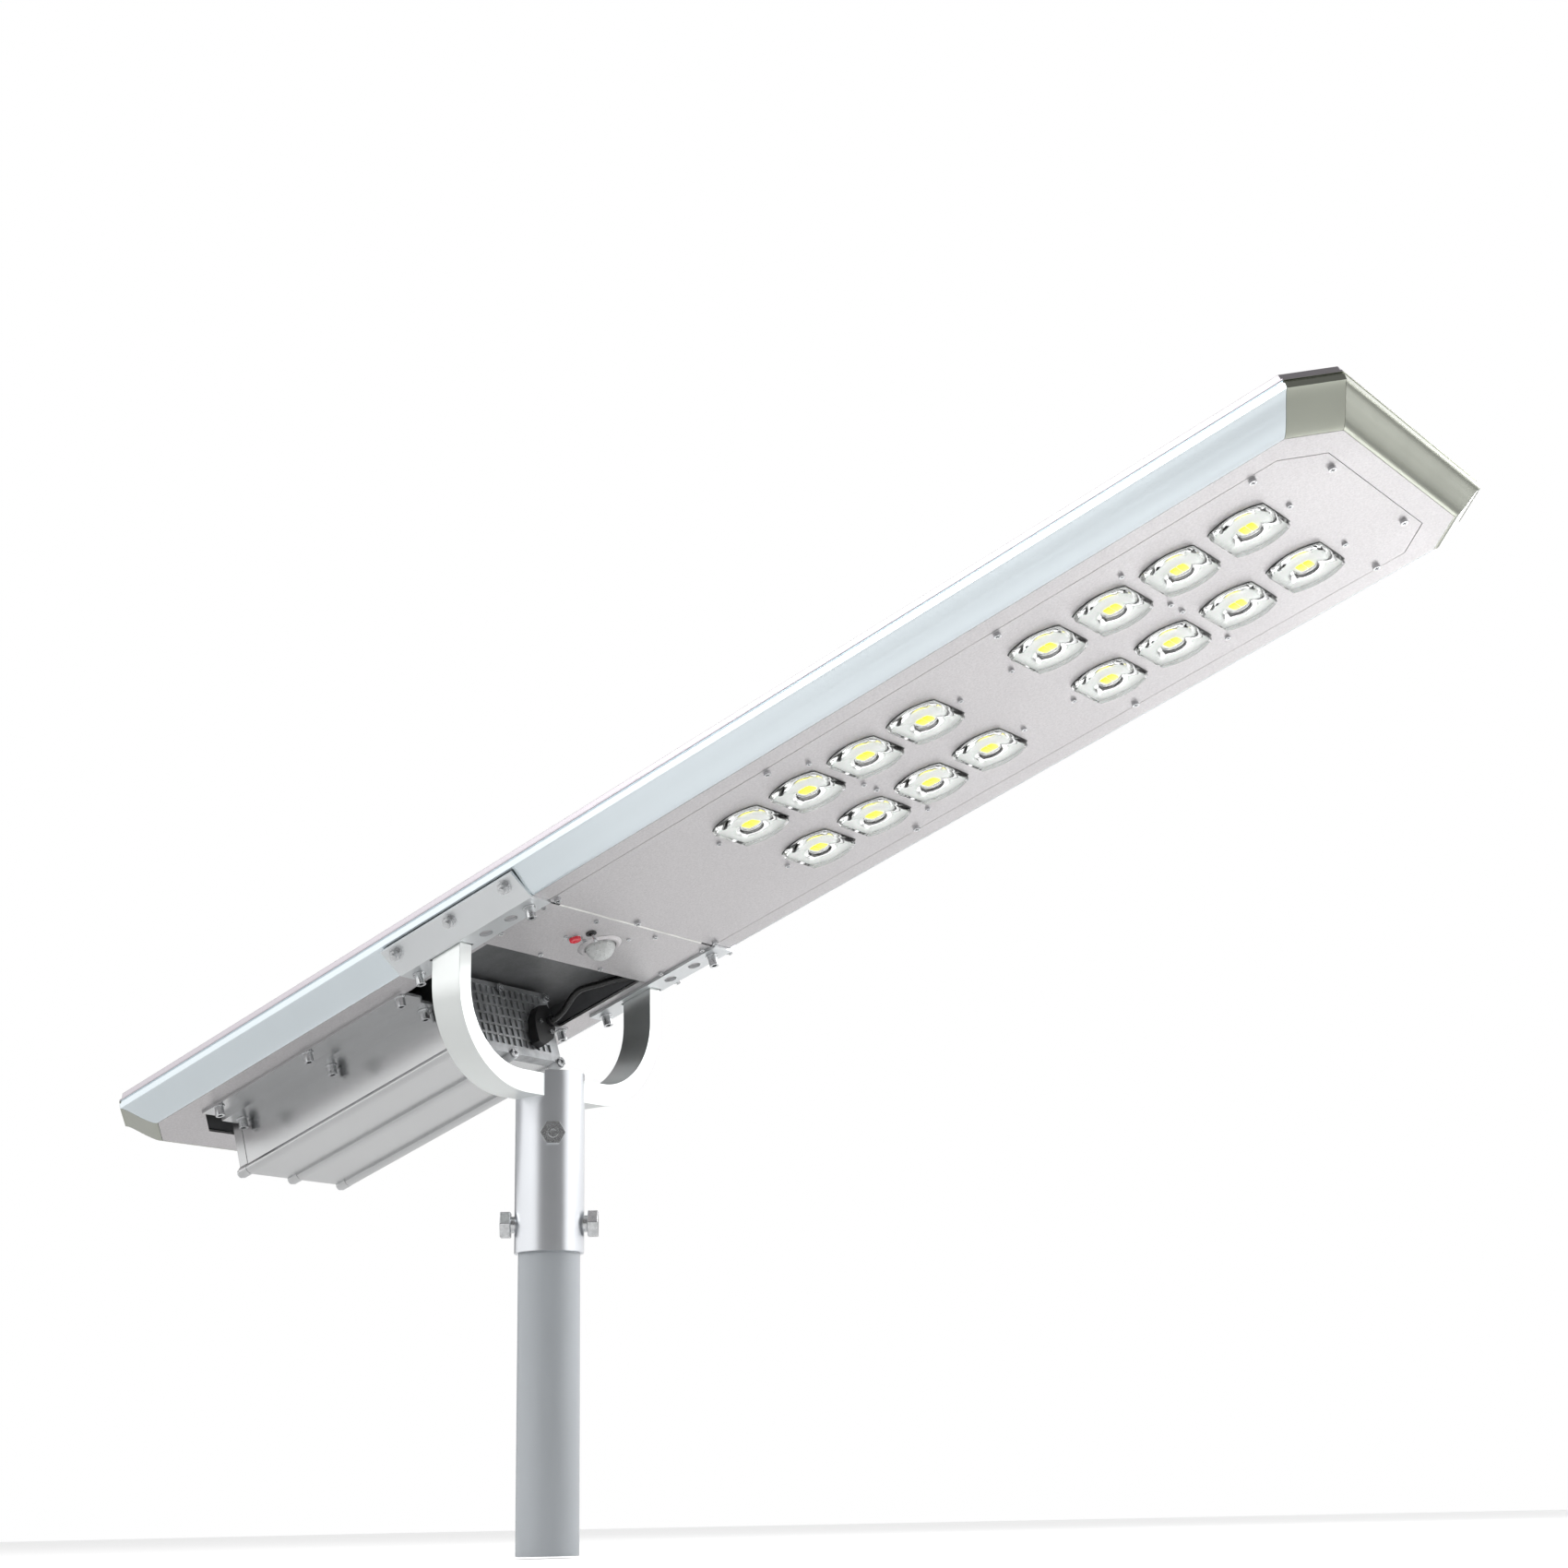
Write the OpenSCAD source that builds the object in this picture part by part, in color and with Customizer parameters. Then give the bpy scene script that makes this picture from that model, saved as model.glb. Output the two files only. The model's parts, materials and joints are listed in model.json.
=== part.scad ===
// Solar street lamp: one long lamp head with its solar panel, LED lenses, battery
// box and sensors, carried by a U yoke on a sleeve that fits over the pole top.
// The model's origin is on the pole axis at the lower end of the pole section.
// The head is drawn flat, with x along the head towards the light end, y across,
// z = 0 on the underside plate, and is then tilted about the yoke's hinge axis.

/* [Pole and yoke] */
// Outside diameter of the pole
pole_d = 60; // [59:0.5:60.5]
// Length of bare pole below the sleeve
pole_drop = 280; // [200:5:400]
// Length of the sleeve
sleeve_len = 174; // [150:1:200]
// Wall of the sleeve
sleeve_wall = 3.7; // [3.5:0.1:4.5]
// Height of the hinge axis above the top of the sleeve
hinge_rise = 114; // [110:1:130]
// Width of the yoke's bar, seen from the side
bar_w = 36; // [30:1:38]
// Distance from the middle to the outer face of a yoke leg
leg_out = 150; // [149:0.5:150]
// Thickness of a yoke leg
leg_t = 16; // [12:1:17]
// Thickness of the yoke's bottom
bar_t = 22; // [18:1:24]
// Tilt of the head above the horizontal, light end up
tilt = 17; // [15:0.5:19]

/* [Head outline] */
// Length of the underside plate
plate_len = 1429; // [1425:1:1435]
// Part of the underside plate that is behind the hinge
plate_back = 463; // [460:1:465]
// Half of the underside plate's width
half_w = 149; // [148.5:0.5:149.5]
// Size of the cut corners
corner = 36; // [30:1:38]
// How far the rail stands out beyond the underside plate
lip_out = 24.9; // [24:0.1:26]
// Height of the rail up to its lip
rail_h = 23.6; // [23:0.1:24]
// Height of the lip
lip_h = 8; // [7.5:0.1:9]

/* [Light] */
// Spacing of the LEDs along the head
led_pitch = 68.2; // [66:0.1:70]
// Distance of each LED row from the middle line
led_y = 54; // [50:0.5:58]
// Length of a lens window
lens_len = 53; // [50:0.5:54]
// Width of a lens window at its ends
lens_end_w = 48; // [44:0.5:50]
// Width of a lens window at its middle
lens_mid_w = 66; // [60:0.5:68]
// How far a lens stands out of the lens plate
lens_drop = 7.5; // [5:0.5:9]

/* [Battery box] */
// Length of the box's extruded body
box_len = 304; // [290:1:306]
// Half of the box's width
box_half_w = 72; // [70:0.5:73]
// How far the box hangs below the underside plate
box_drop = 58; // [50:1:60]
// Thickness of each end cap
cap_t = 12; // [10:0.5:13]

/* [Small parts] */
// Radius of the motion sensor's dome
dome_r = 15.5; // [14:0.5:16]
// Radius of the power button
button_r = 5.8; // [5:0.1:6]
// Diameter of the battery cable
cable_d = 7; // [6:0.5:7.5]

/* [Hidden] */
$fn = 64;
fit = 0.05;                 // running fit, on the radius
seam = 0.15;                // half of the gap between neighbouring rails
pole_r = pole_d / 2;
sleeve_r = pole_r + fit + sleeve_wall;
sleeve_top = pole_drop + sleeve_len;
hinge_z = sleeve_top + hinge_rise;
pole_in = 120;              // length of pole inside the sleeve
hinge_up = 10;              // hinge axis above the underside plate
hinge_r = 5;
rear_x = -plate_back;
front_x = rear_x + plate_len;
sheet = 2.5;                // thickness of the underside sheets
mid_x = (rear_x + front_x) / 2;

// lens groups, counted from the light end
led_front_x = front_x - 119;
led_rear_x = led_front_x - 338.8;
led_sides = [-1, 1];
group_rows = 4;
group_half = 1.5 * led_pitch;
lens_plate_back = 109.5;
lens_plate_front = front_x - 22.8;
lens_plate_y = 126;
plate_corner = 32;          // cut corners of the lens plate
sensor_back = 18.5;
sensor_front = 107;
window_y = 115;             // half width of the opening under the battery box
window_back = rear_x + 34;

// battery box
box_front = -84.3;
box_back = box_front - box_len;
flange_front = -92.6;
box_top = 20;
inner_flange_z = -8;
inner_flange_y = 98;
outer_flange_y = 123.7;
flange_t = 3;
boss_r = 5.6;
boss_y = 70;
outer_bolt_x = [-368, -233, -99.5];
inner_bolt_x = [-377, -241, -106];
outer_bolt_y = 119;
inner_bolt_y = 80.5;

// side brackets
bracket_back = -63;
bracket_front = 112;
bracket_t = 3;
bracket_in_y = 125.5;
flank_bolt_x = [-48.5, 24, 96.5];
flank_bolt_up = 12.4;
hang_bolt_x = [-52, 96];
hang_bolt_y = 139;
lug_x = 14;
slot_back = -26.3;
slot_front = 17.3;

// panel
panel_z = rail_h + lip_h + 0.3;
glass_out = 16.5;           // the glass reaches this far beyond the underside plate
panel_frame_h = 8.2;

// small parts
pir_pos = [61, 3];
button_pos = [62.6, -36];
toggle_pos = [77.5, -28.4];
board_z = 5;

// ---------- helpers ----------

function octagon(x0, x1, y, c) = [[x0, c - y], [x0, y - c], [x0 + c, y], [x1 - c, y],
  [x1, y - c], [x1, c - y], [x1 - c, -y], [x0 + c, -y]];

module in_head() {
  translate([0, 0, hinge_z]) rotate([0, -tilt, 0]) translate([0, 0, -hinge_up]) children();
}

module both_sides() {
  children();
  mirror([0, 1, 0]) children();
}

// socket cap screw hanging down from z = 0
module hanging_bolt(d, head, grip) {
  translate([0, 0, -head]) difference() {
    cylinder(h = head, r = d * 0.8);
    translate([0, 0, -0.1]) cylinder(h = head * 0.55, r = d * 0.45, $fn = 6);
  }
  translate([0, 0, -0.01]) cylinder(h = grip, r = d / 2);
}

// small pan head screw under a sheet, with a cross recess
module pan_screw(d, grip) {
  head = d * 0.8;
  translate([0, 0, -head]) difference() {
    cylinder(h = head, r = d * 0.85);
    for (a = [0, 90]) rotate(a) translate([-d * 0.55, -d * 0.14, -0.1])
      cube([d * 1.1, d * 0.28, head * 0.5]);
  }
  translate([0, 0, -0.01]) cylinder(h = grip, r = d / 2);
}

// ---------- pole and yoke ----------

module pole_top() {
  pole_wall = 3;
  mark_w = 1.5;             // groove that marks where the sleeve's edge goes
  mark_depth = 0.6;
  color("lightslategray") difference() {
    cylinder(h = pole_drop + pole_in, r = pole_r);
    translate([0, 0, -1]) cylinder(h = pole_drop + pole_in + 2, r = pole_r - pole_wall);
    translate([0, 0, pole_drop - mark_w]) difference() {
      cylinder(h = mark_w, r = pole_r + 1);
      translate([0, 0, -1]) cylinder(h = mark_w + 2, r = pole_r - mark_depth);
    }
  }
}

bolt_turn = 38;             // the cross bolts' direction, turned from the head's axis
cross_z = pole_drop + 28;
lock_z = sleeve_top - 62;
lock_turn = -44;
bolt_r = 8;

module yoke_sleeve() {
  color("gainsboro") difference() {
    translate([0, 0, pole_drop]) cylinder(h = sleeve_len, r = sleeve_r);
    translate([0, 0, pole_drop - 1]) cylinder(h = sleeve_len + 2, r = pole_r + fit);
    translate([-bar_w / 2 - fit, -sleeve_r - 1, hinge_z - hinge_rise - bar_t - 3.5])
      cube([bar_w + 2 * fit, 2 * sleeve_r + 2, bar_t + 10]);
    translate([0, 0, cross_z]) rotate([0, 90, bolt_turn])
      cylinder(h = 3 * sleeve_r, r = bolt_r + fit, center = true);
    translate([0, 0, lock_z]) rotate([0, 90, lock_turn]) cylinder(h = 2 * sleeve_r, r = 5 + fit);
  }
}

// outline of the U bar, from its middle; x across, y up, 0 at the hinge
module yoke_outline() {
  out_r = 98;
  in_r = 75;
  foot_out = -hinge_rise - 3.5 - bar_t;
  foot_in = foot_out + bar_t;
  difference() {
    union() {
      translate([-leg_out, foot_out + out_r]) square([2 * leg_out, -foot_out - out_r]);
      translate([-leg_out + out_r, foot_out]) square([2 * (leg_out - out_r), out_r + 1]);
      for (s = led_sides) translate([s * (leg_out - out_r), foot_out + out_r]) circle(r = out_r, $fn = 96);
    }
    translate([-leg_out + leg_t, foot_in + in_r]) square([2 * (leg_out - leg_t), 200]);
    translate([-leg_out + leg_t + in_r, foot_in]) square([2 * (leg_out - leg_t - in_r), in_r + 1]);
    for (s = led_sides) translate([s * (leg_out - leg_t - in_r), foot_in + in_r])
      circle(r = in_r, $fn = 96);
  }
}

module yoke_bar() {
  end_r = 12;
  color("whitesmoke") difference() {
    union() {
      translate([-bar_w / 2, 0, hinge_z]) rotate([90, 0, 90]) linear_extrude(bar_w) yoke_outline();
      both_sides() translate([0, leg_out, hinge_z]) rotate([90, 0, 0]) cylinder(h = leg_t, r = end_r);
    }
    both_sides() translate([0, leg_out + 1, hinge_z]) rotate([90, 0, 0])
      cylinder(h = leg_t + 2, r = hinge_r + fit);
  }
}

module sleeve_cross_bolts() {
  head_af = 24;
  head_h = 10;
  shank = 7;
  color("silver") for (a = [0, 180])
    translate([0, 0, cross_z]) rotate([0, 90, bolt_turn + a]) translate([0, 0, pole_r + 0.3]) {
      cylinder(h = shank, r = bolt_r);
      translate([0, 0, shank]) rotate(30) cylinder(h = head_h, r = head_af / 2 / cos(30), $fn = 6);
    }
}

module sleeve_lock_screw() {
  nut_af = 21;
  nut_h = 4;
  color("lightgray") translate([0, 0, lock_z]) rotate([0, 90, lock_turn])
    translate([0, 0, pole_r + 0.3]) difference() {
      union() {
        cylinder(h = 10, r = 5);
        translate([0, 0, sleeve_r - pole_r + 0.2]) rotate(30)
          cylinder(h = nut_h, r = nut_af / 2 / cos(30), $fn = 6);
      }
      translate([0, 0, 6]) cylinder(h = 5, r = 3, $fn = 6);
    }
}

module hinge_pins() {
  head_r = 7.3;
  head_h = 5;
  reach = 153.5;
  color("dimgray") in_head() both_sides() translate([0, bracket_in_y + 1, hinge_up]) rotate([-90, 0, 0]) {
    cylinder(h = reach - bracket_in_y - 1, r = hinge_r);
    translate([0, 0, -head_h]) difference() {
      cylinder(h = head_h, r = head_r);
      translate([0, 0, -1]) cylinder(h = 4, r = 3, $fn = 6);
    }
  }
}

// ---------- side brackets ----------

// cross-section of a bracket: x outwards from the middle, y up
function bracket_section() = [[bracket_in_y, -bracket_t], [half_w + 4.2, -bracket_t],
  [half_w + lip_out + 1, rail_h - 5.5], [half_w + lip_out - 1, rail_h - 2.7],
  [half_w + 2.5, -0.1], [bracket_in_y, -0.1]];

module side_bracket() {
  lug_in = bracket_in_y + 1;
  vent_x = [39, 72];
  vent_r = 6.5;
  difference() {
    union() {
      translate([bracket_back, 0, 0]) rotate([90, 0, 90]) linear_extrude(bracket_front - bracket_back)
        polygon(bracket_section());
      translate([-lug_x, lug_in, -1]) cube([2 * lug_x, leg_out - leg_t - 0.6 - lug_in, hinge_up + 9]);
      translate([-lug_x, 0, 0]) rotate([90, 0, 90]) linear_extrude(2 * lug_x)
        polygon([[leg_out + 0.6, -1], [half_w + 5, -1], [half_w + 21.5, 17], [leg_out + 0.6, 17]]);
    }
    translate([slot_back, leg_out - leg_t - 0.6, -bracket_t - 1])
      cube([slot_front - slot_back, leg_t + 1.2, bracket_t + 1.5]);
    translate([0, 154.5, hinge_up]) rotate([90, 0, 0]) cylinder(h = 45, r = hinge_r + fit);
    for (x = vent_x) translate([x, hang_bolt_y, -bracket_t - 1]) cylinder(h = bracket_t + 2, r = vent_r);
    for (x = hang_bolt_x) translate([x, hang_bolt_y, -bracket_t - 1]) cylinder(h = bracket_t + 2, r = 3.2);
    for (x = flank_bolt_x) at_flank(x) translate([0, 0, -6]) cylinder(h = 12, r = 3.2);
  }
}

// a place on the bracket's slanted face, z pointing out of it
module at_flank(x) {
  lean = atan2(rail_h - 2.5, lip_out - 3.2);
  translate([x, half_w + 4.2 + (flank_bolt_up + bracket_t) / tan(lean), flank_bolt_up])
    rotate([lean - 180, 0, 0]) children();
}

module side_bracket_left() {
  color("lightsteelblue") in_head() mirror([0, 1, 0]) side_bracket();
}

module side_bracket_right() {
  color("lightsteelblue") in_head() side_bracket();
}

module flank_bolt() {
  translate([0, 0, -9]) cylinder(h = 18, r = 3);
  cylinder(h = 1.2, r = 7);
  translate([0, 0, 1.2]) cylinder(h = 5, r = 5.6, $fn = 6);
}

module bracket_flank_bolts() {
  color("silver") in_head() both_sides() for (x = flank_bolt_x) at_flank(x) flank_bolt();
}

module bracket_hanging_bolts() {
  color("silver") in_head() both_sides() for (x = hang_bolt_x) {
    translate([x, hang_bolt_y, -bracket_t - 1.2]) hanging_bolt(6, 10.5, 9);
    translate([x, hang_bolt_y, -bracket_t - 1.2]) cylinder(h = 1.15, r = 6.5);
  }
}

// ---------- rails and sheets ----------

// cross-section of a rail: x outwards from the edge of the underside plate, y up
function rail_section() = let (top = rail_h + lip_h) [[-12, 2.8], [0.3, 2.8], [0.3, 0.1], [1.6, 0.25],
  [3, 0.85], [5, 2.4], [7.7, 5.05], [10.2, 7.8], [12.2, 10], [12.6, 10.9], [13.7, 11.8], [16, 14.8],
  [18.3, 17.5], [20, 19.6], [21.5, 21.2], [23, 22.6], [24, 23.3], [lip_out, rail_h],
  [lip_out, top - 2.8], [lip_out - 1.2, top - 2.6], [lip_out - 1.2, top - 0.5], [lip_out, top - 0.3],
  [lip_out, top], [-12, top], [-12, top - 2.5], [18.5, top - 2.5], [18.5, 22.2], [16.2, 19.2],
  [10.6, 12.6], [5, 6.4], [2, 5.4], [-12, 5.4]];

// a length of rail along x, facing +y, centred on the origin
module rail_stick(len, stretch = 1) {
  rotate([90, 0, 90]) linear_extrude(len, center = true)
    polygon([for (p = rail_section()) [p[0] * stretch, p[1]]]);
}

mitre = 45;                 // reach of the wedge that mitres a rail's ends

module side_rail() {
  back = rear_x + corner + seam;
  front = front_x - corner - seam;
  difference() {
    intersection() {
      translate([mid_x, half_w, 0]) rail_stick(plate_len + 60);
      translate([0, 0, -1]) linear_extrude(rail_h + lip_h + 2) polygon([[back + mitre, half_w - mitre],
        [back - mitre, half_w + mitre], [front + mitre, half_w + mitre], [front - mitre, half_w - mitre]]);
    }
    translate([slot_back - 1, half_w - 25, -1]) cube([slot_front - slot_back + 2, 25 + 23.5, rail_h - 0.4]);
    for (x = flank_bolt_x) at_flank(x) translate([0, 0, -20]) cylinder(h = 40, r = 3.3);
    for (x = hang_bolt_x) translate([x, hang_bolt_y, -1]) cylinder(h = 9, r = 3.3);
  }
}

module side_rail_left() {
  color("aliceblue") in_head() mirror([0, 1, 0]) side_rail();
}

module side_rail_right() {
  color("aliceblue") in_head() side_rail();
}

module end_rail() {
  y = half_w - corner - seam;
  intersection() {
    translate([front_x, 0, 0]) rotate(-90) rail_stick(2 * half_w + 60);
    translate([0, 0, -1]) linear_extrude(rail_h + lip_h + 2) polygon([[front_x - mitre, y - mitre],
      [front_x + mitre, y + mitre], [front_x + mitre, -y - mitre], [front_x - mitre, mitre - y]]);
  }
}

module front_end_rail() {
  color("darkkhaki") in_head() end_rail();
}

module rear_end_rail() {
  color("darkkhaki") in_head() translate([2 * mid_x, 0, 0]) mirror([1, 0, 0]) end_rail();
}

module corner_rails() {
  color("darkkhaki") in_head() for (end = [0, 1]) translate([end * 2 * mid_x, 0, 0]) mirror([end, 0, 0])
    both_sides() translate([front_x - corner / 2, half_w - corner / 2, 0]) rotate(-45)
      rail_stick(corner * sqrt(2) - 2 * seam, sqrt(2));
}

// outline of the big opening in the tray, for the battery box and the cable
module tray_window() {
  polygon([[window_back, corner - window_y], [window_back, window_y - corner],
    [window_back + corner, window_y], [sensor_back, window_y], [sensor_back, -window_y],
    [window_back + corner, -window_y]]);
}

// outline of the sheets in front of the opening
module front_sheets(gap) {
  y = lens_plate_y + gap;
  x = lens_plate_front + gap;
  polygon([[sensor_back - gap, -y], [sensor_back - gap, y], [x - plate_corner, y],
    [x, y - plate_corner], [x, plate_corner - y], [x - plate_corner, -y]]);
}

module underside_tray() {
  ledge = 1.8;
  color("silver") in_head() difference() {
    union() {
      linear_extrude(sheet) difference() {
        polygon(octagon(rear_x, front_x, half_w, corner));
        tray_window();
        front_sheets(0.6);
      }
      translate([0, 0, sheet]) linear_extrude(ledge) difference() {
        polygon(octagon(sensor_back + 0.6, front_x - 13, half_w - 14, corner));
        translate([30, -110]) square([70, 220]);
        translate([117, -110]) square([lens_plate_front - 130, 220]);
      }
    }
    both_sides() translate([slot_back - 1, bracket_in_y + 1, -1])
      cube([slot_front - slot_back + 2, 40, sheet + ledge + 2]);
    for (x = hang_bolt_x) both_sides() translate([x, hang_bolt_y, -1]) cylinder(h = 9, r = 3.3);
    for (x = outer_bolt_x) both_sides() translate([x, outer_bolt_y, -1]) cylinder(h = 9, r = 3.3);
    for (p = plate_screws) both_sides() translate([p[0], p[1], 0]) cylinder(h = 9, r = 2.1);
    for (p = sensor_screws) both_sides() translate([p[0], p[1], 0]) cylinder(h = 9, r = 1.6);
    translate([lens_plate_back + 4.5, 0, 0]) cylinder(h = 9, r = 2.1);
  }
}

led_xs = [for (x0 = [led_front_x, led_rear_x], i = [0 : group_rows - 1]) x0 - i * led_pitch];
plate_screws = [[lens_plate_back + 7, 120.5], [375.6, 120.5], [631.2, 120.5],
  [lens_plate_front - 57.7, 120.5], [lens_plate_front - 8, 72]];
group_screws = [for (x0 = [led_front_x - group_half, led_rear_x - group_half])
  each [[x0 + 141.5, led_y], [x0, 97], [x0, 10.5], [x0 - 141.5, led_y]]];

// window and outline of a lens, grown by g
module lens_shape(g = 0) {
  bow = (lens_mid_w - lens_end_w) / 2;
  bow_r = (pow(lens_len / 2, 2) + pow(bow, 2)) / (2 * bow);
  intersection() {
    square([lens_len + 2 * g, lens_mid_w + 2 * g], center = true);
    translate([0, lens_mid_w / 2 - bow_r]) circle(r = bow_r + g, $fn = 96);
    translate([0, bow_r - lens_mid_w / 2]) circle(r = bow_r + g, $fn = 96);
  }
}

module lens_plate() {
  x = lens_plate_front;
  y = lens_plate_y;
  color("silver") in_head() difference() {
    linear_extrude(sheet - 0.05) polygon([[lens_plate_back, -y], [lens_plate_back, y],
      [x - plate_corner, y], [x, y - plate_corner], [x, plate_corner - y], [x - plate_corner, -y]]);
    for (lx = led_xs, s = led_sides) translate([lx, s * led_y, -1])
      linear_extrude(sheet + 2) lens_shape(0.4);
    for (p = plate_screws) both_sides() translate([p[0], p[1], -1]) cylinder(h = sheet + 2, r = 2.1);
    translate([lens_plate_back + 4.5, 0, -1]) cylinder(h = sheet + 2, r = 2.1);
    for (p = group_screws) both_sides() translate([p[0], p[1], -1]) cylinder(h = sheet + 2, r = 1.6);
  }
}

module lens_plate_screws() {
  color("gainsboro") in_head() {
    for (p = plate_screws) both_sides() translate([p[0], p[1], -0.05]) pan_screw(4, 5);
    translate([lens_plate_back + 4.5, 0, -0.05]) pan_screw(4, 5);
  }
}

module lens_screws() {
  color("gainsboro") in_head() for (p = group_screws) both_sides()
    translate([p[0], p[1], -0.05]) pan_screw(3, 8);
}

sensor_screws = [[98.5, 120.5], [99, 45], [24, 45], [42, 120.5]];

ring_screws = [[83.8, 21], [63.9, -23.6], [62.5, -49.5]];

module sensor_plate() {
  y = lens_plate_y;
  color("silver") in_head() difference() {
    translate([sensor_back, -y, 0]) cube([sensor_front - sensor_back, 2 * y, sheet - 0.05]);
    translate([pir_pos[0], pir_pos[1], -1]) cylinder(h = 5, r = dome_r + 0.4);
    translate([button_pos[0], button_pos[1], -1]) cylinder(h = 5, r = button_r + 0.4);
    translate([toggle_pos[0], toggle_pos[1], -1]) cylinder(h = 5, r = 4.2);
    for (p = sensor_screws) both_sides() translate([p[0], p[1], -1]) cylinder(h = 5, r = 1.6);
    for (p = ring_screws) translate([p[0], p[1], -1]) cylinder(h = 5, r = 1.35);
  }
}

module sensor_plate_screws() {
  color("gainsboro") in_head() {
    for (p = sensor_screws) both_sides() translate([p[0], p[1], -0.05]) pan_screw(3, 5);
    for (p = ring_screws) translate([p[0], p[1], -0.05]) pan_screw(2.5, 3);
  }
}

strip_y = 108;

module joint_strip() {
  color("ivory") in_head() translate([sensor_front + 0.2, -strip_y, -0.4])
    cube([lens_plate_back - sensor_front - 0.4, 2 * strip_y, 2.8]);
}

module strip_end_plugs() {
  color("black") in_head() both_sides() translate([sensor_front + 0.2, strip_y + 0.2, -0.4])
    cube([lens_plate_back - sensor_front - 0.4, 7, 2.8]);
}

// ---------- light ----------

module heat_spreader(x0) {
  color("darkgray") in_head() difference() {
    translate([x0 - 2 * group_half + group_half - 150, -104, board_z + 2]) cube([300, 208, 3]);
    for (p = group_screws) both_sides() translate([p[0], p[1], 0]) cylinder(h = 20, r = 1.6);
  }
}

module heat_spreader_front() {
  heat_spreader(led_front_x);
}

module heat_spreader_rear() {
  heat_spreader(led_rear_x);
}

module led_board(x0) {
  color("white") in_head() difference() {
    translate([x0 - group_half - 136, -90, board_z]) cube([272, 180, 1.8]);
    for (p = group_screws) both_sides() translate([p[0], p[1], 0]) cylinder(h = 20, r = 1.7);
  }
}

module led_board_front() {
  led_board(led_front_x);
}

module led_board_rear() {
  led_board(led_rear_x);
}

module led_chips() {
  chip = 12;
  color("yellow") in_head() for (x = led_xs, s = led_sides)
    translate([x - chip / 2, s * led_y - chip / 2, board_z - 1.3]) cube([chip, chip, 1.25]);
}

module lens() {
  flange_z = 3.3;
  difference() {
    union() {
      translate([0, 0, -lens_drop + 2]) linear_extrude(flange_z + lens_drop - 1.9) lens_shape(0);
      translate([0, 0, -lens_drop]) linear_extrude(2.1) lens_shape(-1.6);
      translate([0, 0, flange_z]) linear_extrude(1.2) lens_shape(3);
    }
    translate([0, 0, -1]) cylinder(h = 8, r = 10);
  }
}

module lenses_front() {
  color("azure", 0.5) in_head() for (i = [0 : group_rows - 1], s = led_sides)
    translate([led_front_x - i * led_pitch, s * led_y, 0]) lens();
}

module lenses_rear() {
  color("azure", 0.5) in_head() for (i = [0 : group_rows - 1], s = led_sides)
    translate([led_rear_x - i * led_pitch, s * led_y, 0]) lens();
}

module lens_seals() {
  color("dimgray") in_head() for (x = led_xs, s = led_sides) translate([x, s * led_y, sheet + 0.05])
    linear_extrude(0.7) difference() {
      lens_shape(3);
      lens_shape(0.4);
    }
}

// ---------- sensor and switches ----------

module pir_ring() {
  color("whitesmoke") in_head() translate([pir_pos[0], pir_pos[1], 0]) rotate_extrude()
    polygon([[dome_r + 0.5, -2.4], [19, -2.4], [22.5, -0.1], [dome_r + 0.5, -0.1]]);
}

module pir_dome() {
  wall = 1.2;
  color("white") in_head() translate([pir_pos[0], pir_pos[1], 0]) {
    difference() {
      sphere(r = dome_r);
      sphere(r = dome_r - wall);
      translate([-30, -30, 0]) cube(60);
    }
    difference() {
      union() {
        translate([0, 0, -0.01]) cylinder(h = 2.6, r = dome_r);
        translate([0, 0, sheet + 0.05]) cylinder(h = 1, r = 19);
      }
      translate([0, 0, -1]) cylinder(h = 6, r = dome_r - wall);
    }
  }
}

module pir_sensor() {
  color("darkgreen") in_head() translate([pir_pos[0], pir_pos[1], 0]) {
    translate([-14, -16, board_z + 1]) cube([28, 32, 1.6]);
    translate([0, 0, -3]) cylinder(h = board_z + 4.1, r = 4.6);
  }
}

module button_bezel() {
  color("gainsboro") in_head() translate([button_pos[0], button_pos[1], -0.9]) difference() {
    cylinder(h = 0.8, r = button_r + 1.6);
    translate([0, 0, -1]) cylinder(h = 3, r = button_r + 0.35);
  }
}

button_flange_z = 3;

module power_button() {
  color("crimson") in_head() translate([button_pos[0], button_pos[1], 0]) {
    translate([0, 0, -3.2]) cylinder(h = 6.5, r = button_r);
    translate([0, 0, button_flange_z]) cylinder(h = 1.2, r = button_r + 1.4);
    translate([0, 0, 4]) cylinder(h = 4, r = 2);
  }
}

module power_switch() {
  color("black") in_head() translate([button_pos[0], button_pos[1], 0]) {
    difference() {
      translate([-8, -8, button_flange_z + 3.2]) cube([16, 16, 8]);
      cylinder(h = 11, r = 2.4);
    }
    for (x = [-8, 6], y = [-8, 6]) translate([x, y, sheet]) cube([2, 2, 4]);
  }
}

module toggle_bushing() {
  color("dimgray") in_head() translate([toggle_pos[0], toggle_pos[1], 0]) difference() {
    union() {
      translate([0, 0, -1.2]) cylinder(h = 3.8, r = 4);
      translate([0, 0, -1.2]) cylinder(h = 1.1, r = 5.4);
      translate([-6, -4.5, 2.6]) cube([12, 9, 9]);
    }
    translate([0, 0, -2]) cylinder(h = 8, r = 2.9);
    translate([0, 0, 4.5]) sphere(r = 2.8);
  }
}

toggle_pivot_z = 4.5;
toggle_lean = 12;           // the lever rests in its forward position

module mode_toggle() {
  color("lightgray") in_head() translate([toggle_pos[0], toggle_pos[1], 0]) {
    translate([0, 0, toggle_pivot_z]) sphere(r = 2.4);
    translate([0, 0, toggle_pivot_z]) rotate([0, -toggle_lean, 0]) translate([0, 0, -14]) {
      cylinder(h = 14, r = 1.3);
      sphere(r = 1.9);
    }
  }
}

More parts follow.
